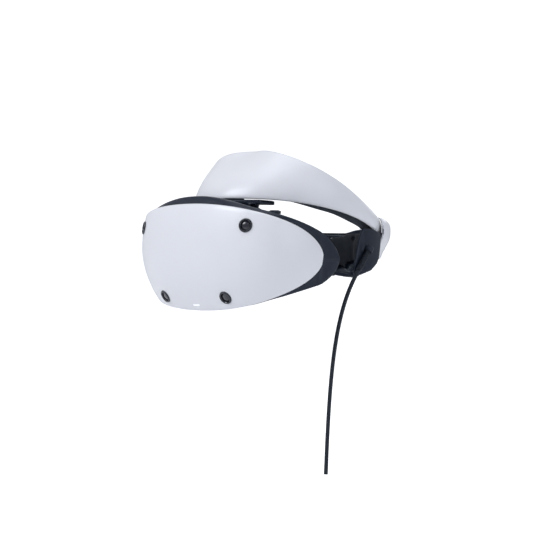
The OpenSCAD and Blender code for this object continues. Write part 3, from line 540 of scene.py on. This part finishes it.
def on_visor(x, z):
    """A place on the visor whose +Z is the visor's outward normal."""
    u = abs(x) / VISOR_HALF_W
    v = (1 - u**PLAN_POWER) ** (1 / PLAN_POWER)
    slope = math.atan(VISOR_DEPTH / VISOR_HALF_W * (u / v) ** (PLAN_POWER - 1)) * (1 if x > 0 else -1)
    rise = math.atan((z - NOSE_Z) / (UPPER_BULGE if z > NOSE_Z else LOWER_BULGE))
    at = (
        x - math.sin(slope) * bulge(z),
        VISOR_DEPTH * (1 - v) - FRONT + math.cos(slope) * bulge(z),
        z,
    )
    turn = Matrix.Rotation(slope - math.pi / 2, 4, "Z") @ Matrix.Rotation(math.pi / 2 - rise, 4, "Y")
    return Matrix.Translation(at) @ turn


# Camera centres on the visor, as (x, z).
CAMERAS = [(74, 28.3), (-74, 28.3), (46.5, -36.6), (-46.5, -36.6)]
CAMERA_HOLE_R = 6.5
# The status light's height and the half sides of its slit.
STATUS_Z = -44
STATUS_HALF_H, STATUS_HALF_W = 0.9, 4.7


# --- Scope shells ---


def visor_section(i):
    """The visor's closed section: outer face, rounded rims and inner face."""
    h = visor_h(RUN[i])
    rim = min(VISOR_WALL / 2, h / 3)
    rows = 26
    outer = [(-bulge(z), z) for z in (lerp(rim - h, h - rim, k / rows) for k in range(rows + 1))]
    loop = list(outer)
    for turn in RIM_ANGLES:
        z = h - rim + rim * sind(turn)
        loop.append((-bulge(z) - VISOR_WALL / 2 * (1 - cosd(turn)), z))
    loop += [(n - VISOR_WALL, z) for n, z in reversed(outer)]
    for turn in RIM_ANGLES:
        z = rim - h - rim * sind(turn)
        loop.append((-bulge(z) - VISOR_WALL / 2 * (1 + cosd(turn)), z))
    return [on_section(i, n, z) for n, z in loop]


def front_cover():
    """The visor, with its camera holes and the slit for the status light."""
    stations = range(TAIL_STEPS, len(PLAN) - TAIL_STEPS)
    made = skin("front_cover_shell", [visor_section(i) for i in stations])
    tools = [prism(circle(CAMERA_HOLE_R), -20, 20, on_visor(*at)) for at in CAMERAS]
    tools.append(prism(oblong(STATUS_HALF_H, STATUS_HALF_W), -6, 6, on_visor(0.01, STATUS_Z)))
    cut(made, *tools)
    return dress(made, "scope", ["front_cover"])


FRAME_WALL = 1.8


def frame_section(i):
    """The frame's section: a tray behind the visor, with rims that run up to the case."""
    q = RUN[i]
    half_h, top, low = max(visor_h(q), 2), case_top(q), case_bottom(q)
    lip, gap, rows = lip_in(q), frame_gap(q), 16
    back_top, back_low = bulge(half_h), bulge(-half_h)
    rim_top, rim_low = min(half_h - 0.4, top - 1.2), min(half_h - 0.4, low - 1.2)
    lip_wall, edge = min(2, top * 0.3), min(3, gap)
    front = [lerp(-rim_low, rim_top, k / rows) * 0.94 for k in range(rows + 1)]
    behind = [lerp(rim_top, -rim_low, k / rows) * 0.88 for k in range(rows + 1)]
    loop = [(-bulge(z) - gap, z) for z in front]
    loop += fair(
        [
            (-back_top - edge, rim_top),
            (-back_top - lip * 0.45, top - min(1.2, (top - rim_top) * 0.3)),
            (-back_top - lip * 0.7, top),
            (-back_top - lip, top),
        ],
        4,
    )
    loop += [(-back_top - lip, top - lip_wall), (-back_top - lip * 0.75, top - lip_wall)]
    loop += [(-bulge(z) - gap - FRAME_WALL, z) for z in behind]
    loop += [(-back_low - lip * 0.75, lip_wall - low), (-back_low - lip, lip_wall - low)]
    loop += fair(
        [
            (-back_low - lip, -low),
            (-back_low - lip * 0.7, -low),
            (-back_low - lip * 0.45, -low + min(1.2, (low - rim_low) * 0.3)),
            (-back_low - edge, -rim_low),
        ],
        4,
    )
    return [on_section(i, n, z) for n, z in loop]


# The lens-spacing dial: its axis as (x, y), its shaft hole's radius, its well's radius and floor.
IPD_AT = (82, -103)
IPD_SHAFT_R = 2.1
IPD_WELL_R = 5.7
IPD_WELL_Z = 39.7


def ipd_tools():
    """The well and the shaft hole of the lens-spacing dial."""
    place = Matrix.Translation((*IPD_AT, 0))
    shaft = prism(circle(IPD_SHAFT_R), 20, 60, place)
    return [shaft, prism(circle(IPD_WELL_R), IPD_WELL_Z, 60, place)]


def front_frame():
    """The black frame behind the visor."""
    made = skin("front_frame_shell", [frame_section(i) for i in range(len(PLAN))])
    tools = [prism(circle(CAMERA_HOLE_R + 0.1), -30, 10, on_visor(*at)) for at in CAMERAS]
    cut(made, *tools, *ipd_tools())
    return dress(made, "scope", ["front_frame"])


# The case's section from the lip back: (share of the depth, share of the height).
CASE_ROOF = fair([(0, 1), (0.45, 0.9), (0.75, 0.79), (0.93, 0.69), (1, 0.54)], 5)
CASE_FLOOR = fair([(1, 0.55), (0.92, 0.7), (0.7, 0.82), (0.35, 0.93), (0, 1)], 5)


def case_section(i):
    """The rear case's closed section: outer face and inner face."""
    q = RUN[i]
    half_h, top, low, back = max(visor_h(q), 2), case_top(q), case_bottom(q), case_in(q)
    front_top = min(bulge(half_h) + lip_in(q) + 0.3, back * 0.75)
    front_low = min(bulge(-half_h) + lip_in(q) + 0.3, back * 0.75)
    wall = min(CASE_WALL, top * 0.25)
    inner = back - min(CASE_WALL, (back - front_top) * 0.4)
    loop = [(-lerp(front_top, back, x), top * y) for x, y in CASE_ROOF]
    loop += [(-lerp(front_low, back, x), -low * y) for x, y in CASE_FLOOR]
    for x, y in reversed(CASE_FLOOR):
        loop.append((-lerp(front_low, inner, x), wall * (1 - 0.4 * x) - low * y))
    for x, y in reversed(CASE_ROOF):
        loop.append((-lerp(front_top, inner, x), top * y - wall * (1 - 0.4 * x)))
    return [on_section(i, n, z) for n, z in loop]


# Nearest and farthest place of an eye unit from the middle, and the opening's radius and depth.
EYE_LOW, EYE_HIGH = 29.5, 36
EYE_REACH = 26.5
EYE_CUT = (-98, -66)
# The two buttons underneath, as (x, radius), the place of their row, and their tilt.
BUTTONS = [(0, 4.4), (-20, 3.4)]
BUTTON_Y, BUTTON_Z = -99, -43
BUTTON_TILT = 218
# The rails' distance from the middle, and the width and depth of the slots that they slide in.
RAIL_X = 30
RAIL_HALF_W = 3.5
RAIL_CUT = (-104, -74)
# Where the case's screws stand, and the radius and front end of their posts.
SCREW_X, SCREW_Z = 70, 20
POST_R = 2.4
POST_FRONT = -114.5
SCREW_HEAD = 1.7
POST_POINTS = 32


def eye_tool(side):
    """A long hole that leaves room for an eye unit to slide."""
    ends = []
    for k in range(49):
        angle = lerp(-90, 90, k / 48)
        ends.append((EYE_REACH * cosd(angle), EYE_REACH * sind(angle)))
    outline = [(EYE_HIGH + x, z) for x, z in ends] + [(EYE_LOW - x, -z) for x, z in ends]
    return prism([(side * x, -z) for x, z in outline], *EYE_CUT, along_y())


def button_tool(x, r):
    """The hole for a button."""
    tilt = Matrix.Rotation(math.radians(BUTTON_TILT), 4, "X")
    place = Matrix.Translation((x, BUTTON_Y, BUTTON_Z)) @ tilt
    return prism(circle(r + 0.12), -3, 13, place)


def rear_case():
    """The rear case, with openings for the eyes, rails, buttons, dial and release button."""
    made = skin("rear_case_shell", [case_section(i) for i in range(len(PLAN))])
    rail_low, rail_high = (corner.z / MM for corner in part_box("slide_rails"))
    tools = [eye_tool(1), eye_tool(-1)]
    for side in (-1, 1):
        place = along_y(side * RAIL_X, (rail_low + rail_high) / 2)
        slot = oblong(RAIL_HALF_W, (rail_high - rail_low) / 2 + 0.5)
        tools.append(prism(slot, *RAIL_CUT, place))
    tools += [button_tool(x, r) for x, r in BUTTONS]
    low, high = box_mm("scope_release_button")
    middle = Matrix.Translation(((low.x + high.x) / 2, (low.y + high.y) / 2, 0))
    half = (high - low) / 2
    tools.append(prism(oblong(half.x + 0.3, half.y + 0.3), 30, 70, middle))
    cut(made, *tools, *ipd_tools())
    return dress(made, "scope", ["rear_case"])


def case_posts():
    """Four posts inside the case that the screws stand in."""
    heads = box_mm("case_screws")[1].y - SCREW_HEAD
    outline = circle(POST_R, POST_POINTS)
    loops = []
    for x in (-SCREW_X, SCREW_X):
        for z in (-SCREW_Z, SCREW_Z):
            place = along_y(x, z)
            loops.append([[place @ Vector((*p, y)) for p in outline] for y in (POST_FRONT, heads)])
    points = [p for pair in loops for loop in pair for p in loop]
    faces = []
    for k in range(len(loops)):
        first = 2 * POST_POINTS * k
        faces += [tuple(first + index for index in face) for face in skin_faces(2, POST_POINTS, False)]
    made = new_object("case_posts", points, faces)
    return dress(made, "scope", ["rear_case"])


def light_shield():
    """The ribbed rubber shield between the case and the face."""
    steps, rows, wall, lip, ribs, rib_depth = 200, 54, 1.7, 7, 3, 0.8

    def root(a):
        """Where the shield leaves the case, at an angle round the wearer's line of sight."""
        x, z = 71 * cosd(a), 33 * sind(a)
        back = CASE_DEPTH + 27 * clamp01((abs(x) - 52) / 29) ** 1.8 - FRONT
        return Vector((x, back + 2.6, z))

    def face(a):
        """The edge that rests on the face, with a rise for the nose."""
        x = 79 * spow(cosd(a), 0.92)
        nose = 17 * math.exp(-((x / 17) ** 2)) if sind(a) < 0 else 0
        z = 35.4 * spow(sind(a), 0.92) if sind(a) > 0 else 39.5 * sind(a)
        y = 67 - FRONT + 50 * (abs(x) / 80) ** 2.4 + (-z * 0.16 if z < 0 else 0)
        return Vector((x, y, z + nose))

    loops = []
    for i in range(steps):
        a = 360 * i / steps
        foot, rim, spoke = root(a), face(a), Vector((cosd(a), 0, sind(a)))
        reach = rim - foot

        def at(t, out):
            wave = rib_depth + rib_depth * cosd(360 * ribs * t)
            way = Vector((reach.x * t * t, reach.y * t, reach.z * t * t))
            return foot + way + spoke * (wave + out)

        loop = [at(k / rows, 0) for k in range(rows + 1)]
        edge, inner = loop[-1] - spoke * 1.6, rim - spoke * lip
        for t in (0.1, 0.3, 0.5, 0.7, 0.9, 1.0):
            crown = Vector((0, 0.9 * sind(180 * t), 0))
            loop.append(edge.lerp(inner + Vector((0, 1.2, 0)), t) + crown)
        loop.append(inner + Vector((0, -0.6, 0)))
        loop += [at(k / rows * 0.96, -wall) for k in range(rows, -1, -1)]
        loops.append(loop)
    made = skin("light_shield_rubber", loops, ring=True)
    return dress(made, "scope", ["light_shield"])


# --- Headband ---

# The band is an oval in plan that leans back at the front and ends at an angle on each side.
BAND_HALF_W = 82
BAND_HALF_L = 95.5
BAND_SHIFT = 11.7
BAND_WALL = 2.6
BAND_LEAN = 46
SIDE_LEAN = 1
BAND_FRONT = -BAND_SHIFT - BAND_HALF_L
BAND_LONG = 180
BAND_END = 139
LEAN_POWER = 1.4
BAND_CROWN = 2.4
LINER_END = 134
LINER_WALL = 1.6
LINER_TOP = 0.96


def band_top(y):
    """The height of the band's upper edge."""
    return 104 - 62 * ease((y - BAND_FRONT) / BAND_LONG)


def band_low(y):
    """The height of the band's lower edge."""
    return 55.2 - 34 * clamp01((y - BAND_FRONT) / BAND_LONG) ** 1.85


def band_point(a, v, inset):
    """A point on the band: a is the plan angle from the front, v the share of its height."""
    y = -BAND_SHIFT - BAND_HALF_L * cosd(a)
    low, high = band_low(y), band_top(y)
    z = lerp(low, high, v)
    lean = SIDE_LEAN + (BAND_LEAN - SIDE_LEAN) * max(0, cosd(a)) ** 1.6
    rise = (high - low) * clamp01(v) ** LEAN_POWER
    back = math.tan(math.radians(lean)) * rise - BAND_CROWN * sind(180 * clamp01(v)) + inset
    return ((BAND_HALF_W - back) * sind(a), (back - BAND_HALF_L) * cosd(a) - BAND_SHIFT, z)


def end_pinch(away, half):
    """How much each face draws in near an end, so that the end is rounded."""
    if away >= half:
        return 0.0
    return half * (1 - math.sqrt(max(0, 1 - ((half - away) / half) ** 2))) * 0.9


def sweep(start, end, steps, half, degree):
    """Angles from start to end, closer together at the ends. One is degree mm along the sheet."""
    angles = [lerp(start, end, i / steps) for i in range(steps + 1)]
    extra = [half * k / 5 / degree for k in range(5)]
    return [start + e for e in extra] + angles[1:-1] + [end - e for e in reversed(extra)]


# How many millimetres a degree is along the band and along the rear shell.
BAND_DEGREE = 1.5
SHELL_DEGREE = 1.3


def band_sheet(name, start, end, steps, rows, wall, inset, low_v, high_v):
    """A curved sheet on the band with round edges and ends. inset and low_v are functions of the angle."""
    half = wall / 2
    loops = []
    for a in sweep(start, end, steps, half, BAND_DEGREE):
        pinch = end_pinch(min(a - start, end - a) * BAND_DEGREE, half)
        thick = half - pinch
        middle = inset(a) + half
        y = -BAND_SHIFT - BAND_HALF_L * cosd(a)
        rim = half / (band_top(y) - band_low(y))
        low, high = low_v(a) + rim, high_v - rim
        loop = [band_point(a, lerp(low, high, k / rows), middle - thick) for k in range(rows + 1)]
        for turn in RIM_ANGLES:
            loop.append(band_point(a, high + rim * sind(turn), middle - thick * cosd(turn)))
        loop += [band_point(a, lerp(high, low, k / rows), middle + thick) for k in range(rows + 1)]
        for turn in RIM_ANGLES:
            loop.append(band_point(a, low - rim * sind(turn), middle + thick * cosd(turn)))
        loops.append(loop)
    return skin(name, loops)


def flush(angle):
    """No inset and no drop, at any angle."""
    return 0


def front_band():
    made = band_sheet("front_band", -BAND_END, BAND_END, 180, 22, BAND_WALL, flush, flush, 1)
    return dress(made, "head_band", ["front_band_shell"])


def liner_drop(a):
    """The liner's lower edge as a share of the band's height. It hangs lower towards the ends."""
    return 0.02 - 0.12 * ease((abs(a) - 45) / 35) - 0.18 * ease((abs(a) - 76) / 28)


def liner_inset(a):
    """How far inside the band the liner is. It stands off at the tails, where the straps run."""
    return BAND_WALL + 0.6 + 3 * ease((abs(a) - 98) / 14)


def band_liner():
    ends = (-LINER_END, LINER_END)
    made = band_sheet(
        "band_liner_sheet", *ends, 190, 18, LINER_WALL, liner_inset, liner_drop, LINER_TOP
    )
    return dress(made, "head_band", ["band_liner"])


# --- Rear unit ---

# The rear arc's radius and centre, and the dial's height and boss.
REAR_R = 76.5
REAR_Y = 22
DIAL_Z = 26.5
BOSS_R = 7.8
# Past this distance from the middle, the shell's front ends are black too.
SHELL_END_X = 71.2
# The shell's lowest and highest edge, the size of its round rim, and its middle radius.
SHELL_LOW = 5.6
SHELL_HIGH = 45.1
SHELL_RIM = 0.8
SHELL_MID_R = 74
# How far inside the rear arc's radius each face is, as (height, distance).
SHELL_OUTER = [
    (5.5, 9.6), (9, 8.1), (14, 6.2), (19, 3.4), (24, 1.1), (30, 0), (37, 0.3), (41.5, 1.5), (44.2, 3.4),
    (45.2, 5),
]
SHELL_INNER = [
    (5.5, 11.6), (10, 10.3), (15.2, 8.3), (20.4, 5.6), (25, 3.4), (30, 2.2), (35, 2.4), (39, 3.3),
    (42.2, 4.4), (43.6, 5.8), (45.2, 7),
]
# The shell's upper edge, as (distance from the middle, height).
SHELL_TOP = [
    (0, 37), (14, 36), (26, 33), (35, 32.2), (44, 32.2), (51, 35.5), (58, 39.7), (63, 42.5),
    (67, 45.2), (90, 45.2),
]


def shell_section(a, pinch):
    """The rear shell's section at an angle of the rear arc."""
    top = min(SHELL_HIGH, through(SHELL_TOP, abs(SHELL_MID_R * cosd(a))))
    low, rim, rows = SHELL_LOW, SHELL_RIM, 22

    def at(z, share):
        outer, inner = through(SHELL_OUTER, z), through(SHELL_INNER, z)
        r = REAR_R - lerp(outer + pinch, inner - pinch, share)
        return (r * cosd(a), REAR_Y + r * sind(a), z)

    loop = [at(lerp(low + rim, top - rim, k / rows), 0) for k in range(rows + 1)]
    for turn in RIM_ANGLES:
        loop.append(at(top - rim + rim * sind(turn), 0.5 - 0.5 * cosd(turn)))
    loop += [at(lerp(top - rim, low + rim, k / rows), 1) for k in range(rows + 1)]
    for turn in RIM_ANGLES:
        loop.append(at(low + rim - rim * sind(turn), 0.5 + 0.5 * cosd(turn)))
    return loop


def rear_shell():
    """The white shell round the back, with a black lining on its inner side."""
    start, end, half = 20, 160, 1.0
    loops = []
    for a in sweep(start, end, 132, half, SHELL_DEGREE):
        away = min(a - start, end - a) * SHELL_DEGREE
        loops.append(shell_section(a, end_pinch(away, half)))
    made = skin("rear_shell_cover", loops)
    cut(made, prism(circle(BOSS_R + 0.15), 80, 110, along_y(0, DIAL_Z)))
    dress(made, "rear_unit", ["rear_shell"])
    made.data.materials.append(FINISHES["black_shell"])
    axis = Vector((0, REAR_Y * MM, 0))
    for face in made.data.polygons:
        spoke = (face.center - axis) * Vector((1, 1, 0))
        near_end = abs(spoke.x) > SHELL_END_X * MM
        # Faces that turn outwards less than this are lining.
        limit = 0.8 if near_end else -0.25
        if face.normal.dot(spoke.normalized()) < limit:
            face.material_index = 1
    return made


# The cable's plane, its upper end as (y, z), its radius, and how far and how soon it swings forwards.
CABLE_X = 78
CABLE_TOP = (8.825, -7.56)
CABLE_R = 1.9
CABLE_SWING = 36.8
CABLE_EASE = 49


def cable():
    """The cable, which leaves at a slant and ends up hanging straight down."""
    end_z = box_mm("cable")[0].z + CABLE_R * 0.1

    def middle(z):
        y = CABLE_TOP[0] - CABLE_SWING * (1 - math.exp((z - CABLE_TOP[1]) / CABLE_EASE))
        return Vector((CABLE_X, y, z))

    loops = []
    for i in range(121):
        z = lerp(CABLE_TOP[1] - 0.5, end_z, (i / 120) ** 1.4)
        step = (middle(z - 1) - middle(z)).normalized()
        side, across = Vector((0, step.z, -step.y)), Vector((1, 0, 0))
        loops.append(
            [middle(z) + CABLE_R * (side * cosd(15 * k) + across * sind(15 * k)) for k in range(24)]
        )
    made = skin("cable_sleeve", loops)
    return dress(made, "rear_unit", ["cable"])


# The cable's sleeve: its upper end, its direction, and the radii of its bore, body and ribs.
RELIEF_TOP = (CABLE_X, 22.3, 12.9)
RELIEF_WAY = (0, -0.55, -0.835)
RELIEF_BORE_R, RELIEF_R, RELIEF_RIB_R = 2.0, 2.25, 2.9
RELIEF_RIBS = 11
RELIEF_PITCH = 2.2
# A rib's outline, as (distance from its start, radius).
RELIEF_RIB = [
    (0, RELIEF_R), (0.1, 2.75), (0.3, RELIEF_RIB_R), (0.9, RELIEF_RIB_R), (1.15, 2.75), (1.25, RELIEF_R),
]


def strain_relief():
    """A ribbed rubber sleeve round the top of the cable."""
    start, along, side = Vector(RELIEF_TOP), Vector(RELIEF_WAY).normalized(), Vector((1, 0, 0))
    other = along.cross(side)
    profile = [(0, RELIEF_BORE_R), (0, 2.2)]
    for k in range(RELIEF_RIBS):
        foot = 0.4 + k * RELIEF_PITCH
        profile += [(foot + far, r) for far, r in RELIEF_RIB]
    length = 0.4 + RELIEF_RIBS * RELIEF_PITCH - 0.3
    profile += [(length, RELIEF_R), (length, RELIEF_BORE_R)]
    loops = []
    for far, r in profile:
        middle = start + along * far
        spokes = [side * cosd(12 * k) + other * sind(12 * k) for k in range(30)]
        loops.append([middle + r * spoke for spoke in spokes])
    made = skin("strain_relief_sleeve", loops)
    return dress(made, "rear_unit", ["strain_relief"])


# --- Pieces that start from a copy of the CAD solid ---

# Points closer than this are one point.
WELD_MM = 0.01
# The soft pads: voxel size, cloth steps and pressure.
PAD_VOXEL = 4.0
CLOTH_STEPS = 20
CLOTH_PRESSURE = 4.0
# The angles of the seams across each pad. The first are counted from the front, the others from +X.
FOREHEAD_SEAMS = (-40, -14, 14, 40)
REAR_SEAMS = (62, 90, 118)
PAD_BORE_R = 2.8
# A degree on the forehead pad is about this many millimetres.
FOREHEAD_DEGREE = 1.5


def copy_node(name, node):
    """A closed copy of a CAD node's mesh."""
    source = frame["nodes"][node]
    made = bpy.data.objects.new(name, source.data.copy())
    scene.collection.objects.link(made)
    shape = bmesh.new()
    shape.from_mesh(made.data)
    bmesh.ops.remove_doubles(shape, verts=shape.verts, dist=WELD_MM * MM)
    bmesh.ops.recalc_face_normals(shape, faces=shape.faces)
    shape.to_mesh(made.data)
    shape.free()
    return made


def moulded(name, node, body, voxel, passes=8):
    """A copy of the node with all its edges run together, as on a moulded piece."""
    made = copy_node(name, node)
    step = made.modifiers.new("remesh", "REMESH")
    step.mode = "VOXEL"
    step.voxel_size = voxel * MM
    step = made.modifiers.new("smooth", "SMOOTH")
    step.factor = 0.5
    step.iterations = passes
    bake(made)
    shade(made, 60)
    return dress(made, body, [node])


def swell(made, start, cap):
    """Shrinks a pad by start and blows it up as cloth. No point moves further than the cap."""
    step = made.modifiers.new("remesh", "REMESH")
    step.mode = "VOXEL"
    step.voxel_size = PAD_VOXEL * MM
    bake(made)
    for point in made.data.vertices:
        point.co -= point.normal * start * MM
    rest = [point.co.copy() for point in made.data.vertices]
    soft = made.modifiers.new("cloth", "CLOTH")
    soft.settings.quality = 6
    soft.settings.use_pressure = True
    soft.settings.uniform_pressure_force = CLOTH_PRESSURE
    soft.settings.effector_weights.gravity = 0
    soft.point_cache.frame_start = 1
    soft.point_cache.frame_end = CLOTH_STEPS
    for frame_number in range(1, CLOTH_STEPS + 1):
        scene.frame_set(frame_number)
    bake(made)
    scene.frame_set(1)
    for point, was in zip(made.data.vertices, rest):
        moved = point.co - was
        if moved.length > cap * MM:
            point.co = was + moved.normalized() * cap * MM


def smooth_up(made):
    """Evens out a pad and splits each of its faces in four."""
    step = made.modifiers.new("smooth", "SMOOTH")
    step.iterations = 3
    step = made.modifiers.new("round", "SUBSURF")
    step.levels = 1
    step.render_levels = 1
    bake(made)


def press_seams(made, depth, width, distance):
    """Sinks narrow channels where distance(point) is near zero. All are in millimetres."""
    outline = [(point.co / MM, point.normal.copy()) for point in made.data.vertices]
    for point, (at, normal) in zip(made.data.vertices, outline):
        share = math.exp(-((distance(at) / width) ** 2))
        point.co -= normal * depth * share * MM


def forehead_pad():
    """The soft pad that rests on the forehead."""
    made = copy_node("forehead_cushion", "forehead_pad")
    swell(made, 1.2, 3.0)
    smooth_up(made)

    def distance(at):
        angle = math.degrees(math.atan2(at.x, -BAND_SHIFT - at.y))
        return min(abs(angle - seam) for seam in FOREHEAD_SEAMS) * FOREHEAD_DEGREE

    press_seams(made, 1.6, 2.2, distance)
    shade(made, 80)
    return dress(made, "head_band", ["forehead_pad"], PAD_CLOTH)


def rear_pad():
    """The soft pad that rests on the back of the head."""
    made = copy_node("rear_cushion", "rear_pad")
    swell(made, 0.8, 2.0)
    smooth_up(made)

    def distance(at):
        angle = math.degrees(math.atan2(at.y - REAR_Y, at.x))
        return min(abs(angle - seam) for seam in REAR_SEAMS)

    press_seams(made, 1.3, 2.0, distance)
    # The way through for the release button's shaft.
    cut(made, prism(circle(PAD_BORE_R), 60, 100, along_y(0, DIAL_Z)))
    shade(made, 80)
    return dress(made, "rear_unit", ["rear_pad"], PAD_CLOTH)


# The strap's start and where it leaves the band, as angles of the band, and how far inside it runs.
STRAP_START, STRAP_LEAVE = 108, 137
STRAP_INSET = 2.8
STRAP_HALF_WALL = 0.6
# Where the strap runs on the rear arc: its radius, angles, and the heights of its two edges.
STRAP_R = 66.3
STRAP_ARC = (46, 60)
STRAP_LOW, STRAP_HIGH = 23.4, 30


def strap_stations():
    """The strap's two edges, from inside the band to the rear arc, and where it leaves the band."""
    stations = []
    for k in range(17):
        a = lerp(STRAP_START, STRAP_LEAVE, k / 16)
        inset = liner_inset(a) + STRAP_INSET
        low, high = band_point(a, 0.2, inset), band_point(a, 0.8, inset)
        stations.append((Vector(low), Vector(high)))
    leave = stations[-1]
    for k in range(1, 13):
        t = k / 12
        angle, share = lerp(*STRAP_ARC, t), ease(t)
        on_arc = Vector((STRAP_R * cosd(angle), REAR_Y + STRAP_R * sind(angle), 0))
        low, high = leave[0].lerp(on_arc, share), leave[1].lerp(on_arc, share)
        low.z, high.z = lerp(leave[0].z, STRAP_LOW, share), lerp(leave[1].z, STRAP_HIGH, share)
        stations.append((low, high))
    return stations, leave[0]


def tail_strap(side):
    """A flat strap that leaves the band's inside and runs on to the rear arc."""
    stations, leave = strap_stations()
    loops = []
    for k, (low, high) in enumerate(stations):
        before, after = stations[max(0, k - 1)][0], stations[min(len(stations) - 1, k + 1)][0]
        run = (after - before).normalized()
        out = Vector((run.y, -run.x, 0)).normalized() * STRAP_HALF_WALL
        loop = [low.lerp(high, 0.04 + 0.92 * j / 6) + out for j in range(7)]
        loop.append(high)
        loop += [low.lerp(high, 0.96 - 0.92 * j / 6) - out for j in range(7)]
        loop.append(low)
        loops.append([(side * p.x, p.y, p.z) for p in loop])
    made = skin("tail_strap_left" if side > 0 else "tail_strap_right", loops)
    dress(made, None, ["side_straps"], STRAP_CLOTH)
    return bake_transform(made)


# --- CAD nodes that are shown as they are ---

# How wide a node's edges are rounded.
PLAIN_ROUND = 0.22
ROUND_WIDTH = {"adjust_dial": 0.5, "size_release_button": 0.8, "scope_release_button": 1.2}


def finish_node(name, node):
    """Welds the node's corners, rounds its edges and gives it its slot's material."""
    weld = node.modifiers.new("weld", "WELD")
    weld.merge_threshold = WELD_MM / 2 * MM
    node.data.shade_smooth()
    if "custom_normal" in node.data.attributes:
        node.data.attributes.remove(node.data.attributes["custom_normal"])
    soften(node, ROUND_WIDTH.get(name, PLAIN_ROUND), 30)
    node.data.materials.clear()
    node.data.materials.append(FINISHES[NODE_SLOTS[name]])


# --- Stage, light and camera, all in metres ---

# The floor's glow as light on the object and as the camera sees it.
FLOOR_GLOW = 0.10
FLOOR_SHOWN = 0.80
FLOOR_GAP = 0.006
FLOOR_R = 2.4
CURVE_R = 1.8
WALL_HIGH = 4.5
SPOKES = 72
SKY_STRENGTH = 0.2


def stage_bowl():
    """A plain pale floor that curves up all round into a wall."""
    floor_z = cad_box[0].z - FLOOR_GAP
    outline = [(0.6, 0), (1.4, 0), (FLOOR_R, 0)]
    outline += [(FLOOR_R + CURVE_R * sind(a), CURVE_R * (1 - cosd(a))) for a in range(9, 91, 9)]
    outline.append((FLOOR_R + CURVE_R, WALL_HIGH))
    turn = 360 / SPOKES
    loops = [
        [(r * cosd(turn * k) / MM, r * sind(turn * k) / MM, (floor_z + z) / MM) for k in range(SPOKES)]
        for r, z in outline
    ]
    points = [p for loop in loops for p in loop]
    faces = skin_faces(len(loops), SPOKES, False)[:-1]
    made = new_object("floor", points, faces)
    if made.data.polygons[-1].normal.z < 0:
        made.data.flip_normals()
    look = Finish("floor", (0.80, 0.805, 0.82), 0.9).grain(30, 0.02)
    look.set(Emission_Color=(0.97, 0.98, 1.0, 1))
    # The floor looks brighter than the light that it throws on the object.
    ray = look.nodes.new("ShaderNodeLightPath").outputs["Is Camera Ray"]
    strength = look.nodes.new("ShaderNodeMapRange")
    strength.inputs["To Min"].default_value = FLOOR_GLOW
    strength.inputs["To Max"].default_value = FLOOR_SHOWN
    look.links.new(ray, strength.inputs["Value"])
    look.links.new(strength.outputs["Result"], look.shader.inputs["Emission Strength"])
    # From outside, such as from below, the floor isn't seen.
    side = look.nodes.new("ShaderNodeNewGeometry").outputs["Backfacing"]
    clear_side = look.nodes.new("ShaderNodeBsdfTransparent")
    choice = look.nodes.new("ShaderNodeMixShader")
    look.links.new(side, choice.inputs["Fac"])
    look.links.new(look.shader.outputs["BSDF"], choice.inputs[1])
    look.links.new(clear_side.outputs["BSDF"], choice.inputs[2])
    look.links.new(choice.outputs["Shader"], look.nodes["Material Output"].inputs["Surface"])
    made.data.materials.append(look.material)


def lamp(name, at, size, power, colour=(1, 1, 1)):
    """A soft lamp that faces the object."""
    light = bpy.data.lights.new(name, "AREA")
    light.shape = "RECTANGLE"
    light.size, light.size_y = size
    light.energy = power
    light.color = colour
    made = bpy.data.objects.new(name, light)
    scene.collection.objects.link(made)
    made.location = at
    made.rotation_mode = "QUATERNION"
    made.rotation_quaternion = (-Vector(at)).to_track_quat("-Z", "Y")


def lights():
    """Soft studio light from the front, above, the side and behind."""
    lamp("key", (-0.6, -1.9, 1.5), (1.4, 1.0), 26)
    lamp("fill", (2.0, 0.1, 0.5), (1.2, 1.4), 6, (0.95, 0.97, 1))
    lamp("top", (0.1, -0.1, 2.1), (1.8, 1.8), 17)
    lamp("back", (-0.9, 1.9, 1.0), (1.2, 0.9), 6)
    world = bpy.data.worlds.new("studio")
    world.use_nodes = True
    sky = world.node_tree.nodes["Background"].inputs
    sky["Color"].default_value = (0.92, 0.94, 1, 1)
    sky["Strength"].default_value = SKY_STRENGTH
    scene.world = world


# The camera's angles in degrees, what it looks at, how far it stands and its lens in millimetres.
AZIMUTH, ELEVATION, ROLL = 47.859, -0.898, 1.478
TARGET = (-0.01339, -0.01450, -0.01298)
DISTANCE = 1.6
LENS, SENSOR_WIDTH = 107.35, 36


def camera():
    """The camera, in front and to the wearer's left, a little below level."""
    level = cosd(ELEVATION)
    back = Vector((sind(AZIMUTH) * level, -cosd(AZIMUTH) * level, sind(ELEVATION)))
    across = Vector((0, 0, 1)).cross(back).normalized()
    up = back.cross(across)
    turned = across * cosd(ROLL) + up * sind(ROLL)
    upright = up * cosd(ROLL) - across * sind(ROLL)
    lens = bpy.data.cameras.new("camera")
    lens.lens = LENS
    lens.sensor_width = SENSOR_WIDTH
    made = bpy.data.objects.new("camera", lens)
    scene.collection.objects.link(made)
    axes = Matrix((turned, upright, back)).transposed().to_4x4()
    made.matrix_world = Matrix.Translation(Vector(TARGET) + back * DISTANCE) @ axes
    scene.camera = made


# --- Build ---

front_cover()
front_frame()
rear_case()
case_posts()
light_shield()
front_band()
band_liner()
rear_shell()
cable()
strain_relief()
moulded("rear_housing_body", "rear_housing", "rear_unit", 0.8)
moulded("forehead_bridge_body", "forehead_bridge", "head_band", 0.7)
forehead_pad()
rear_pad()
tail_strap(1)
tail_strap(-1)
for name, node in frame["nodes"].items():
    if not node.hide_render:
        finish_node(name, node)
spring = frame["nodes"]["scope_release_spring"]
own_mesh(spring)
stage_bowl()
lights()
camera()
scene.view_settings.view_transform = "Standard"
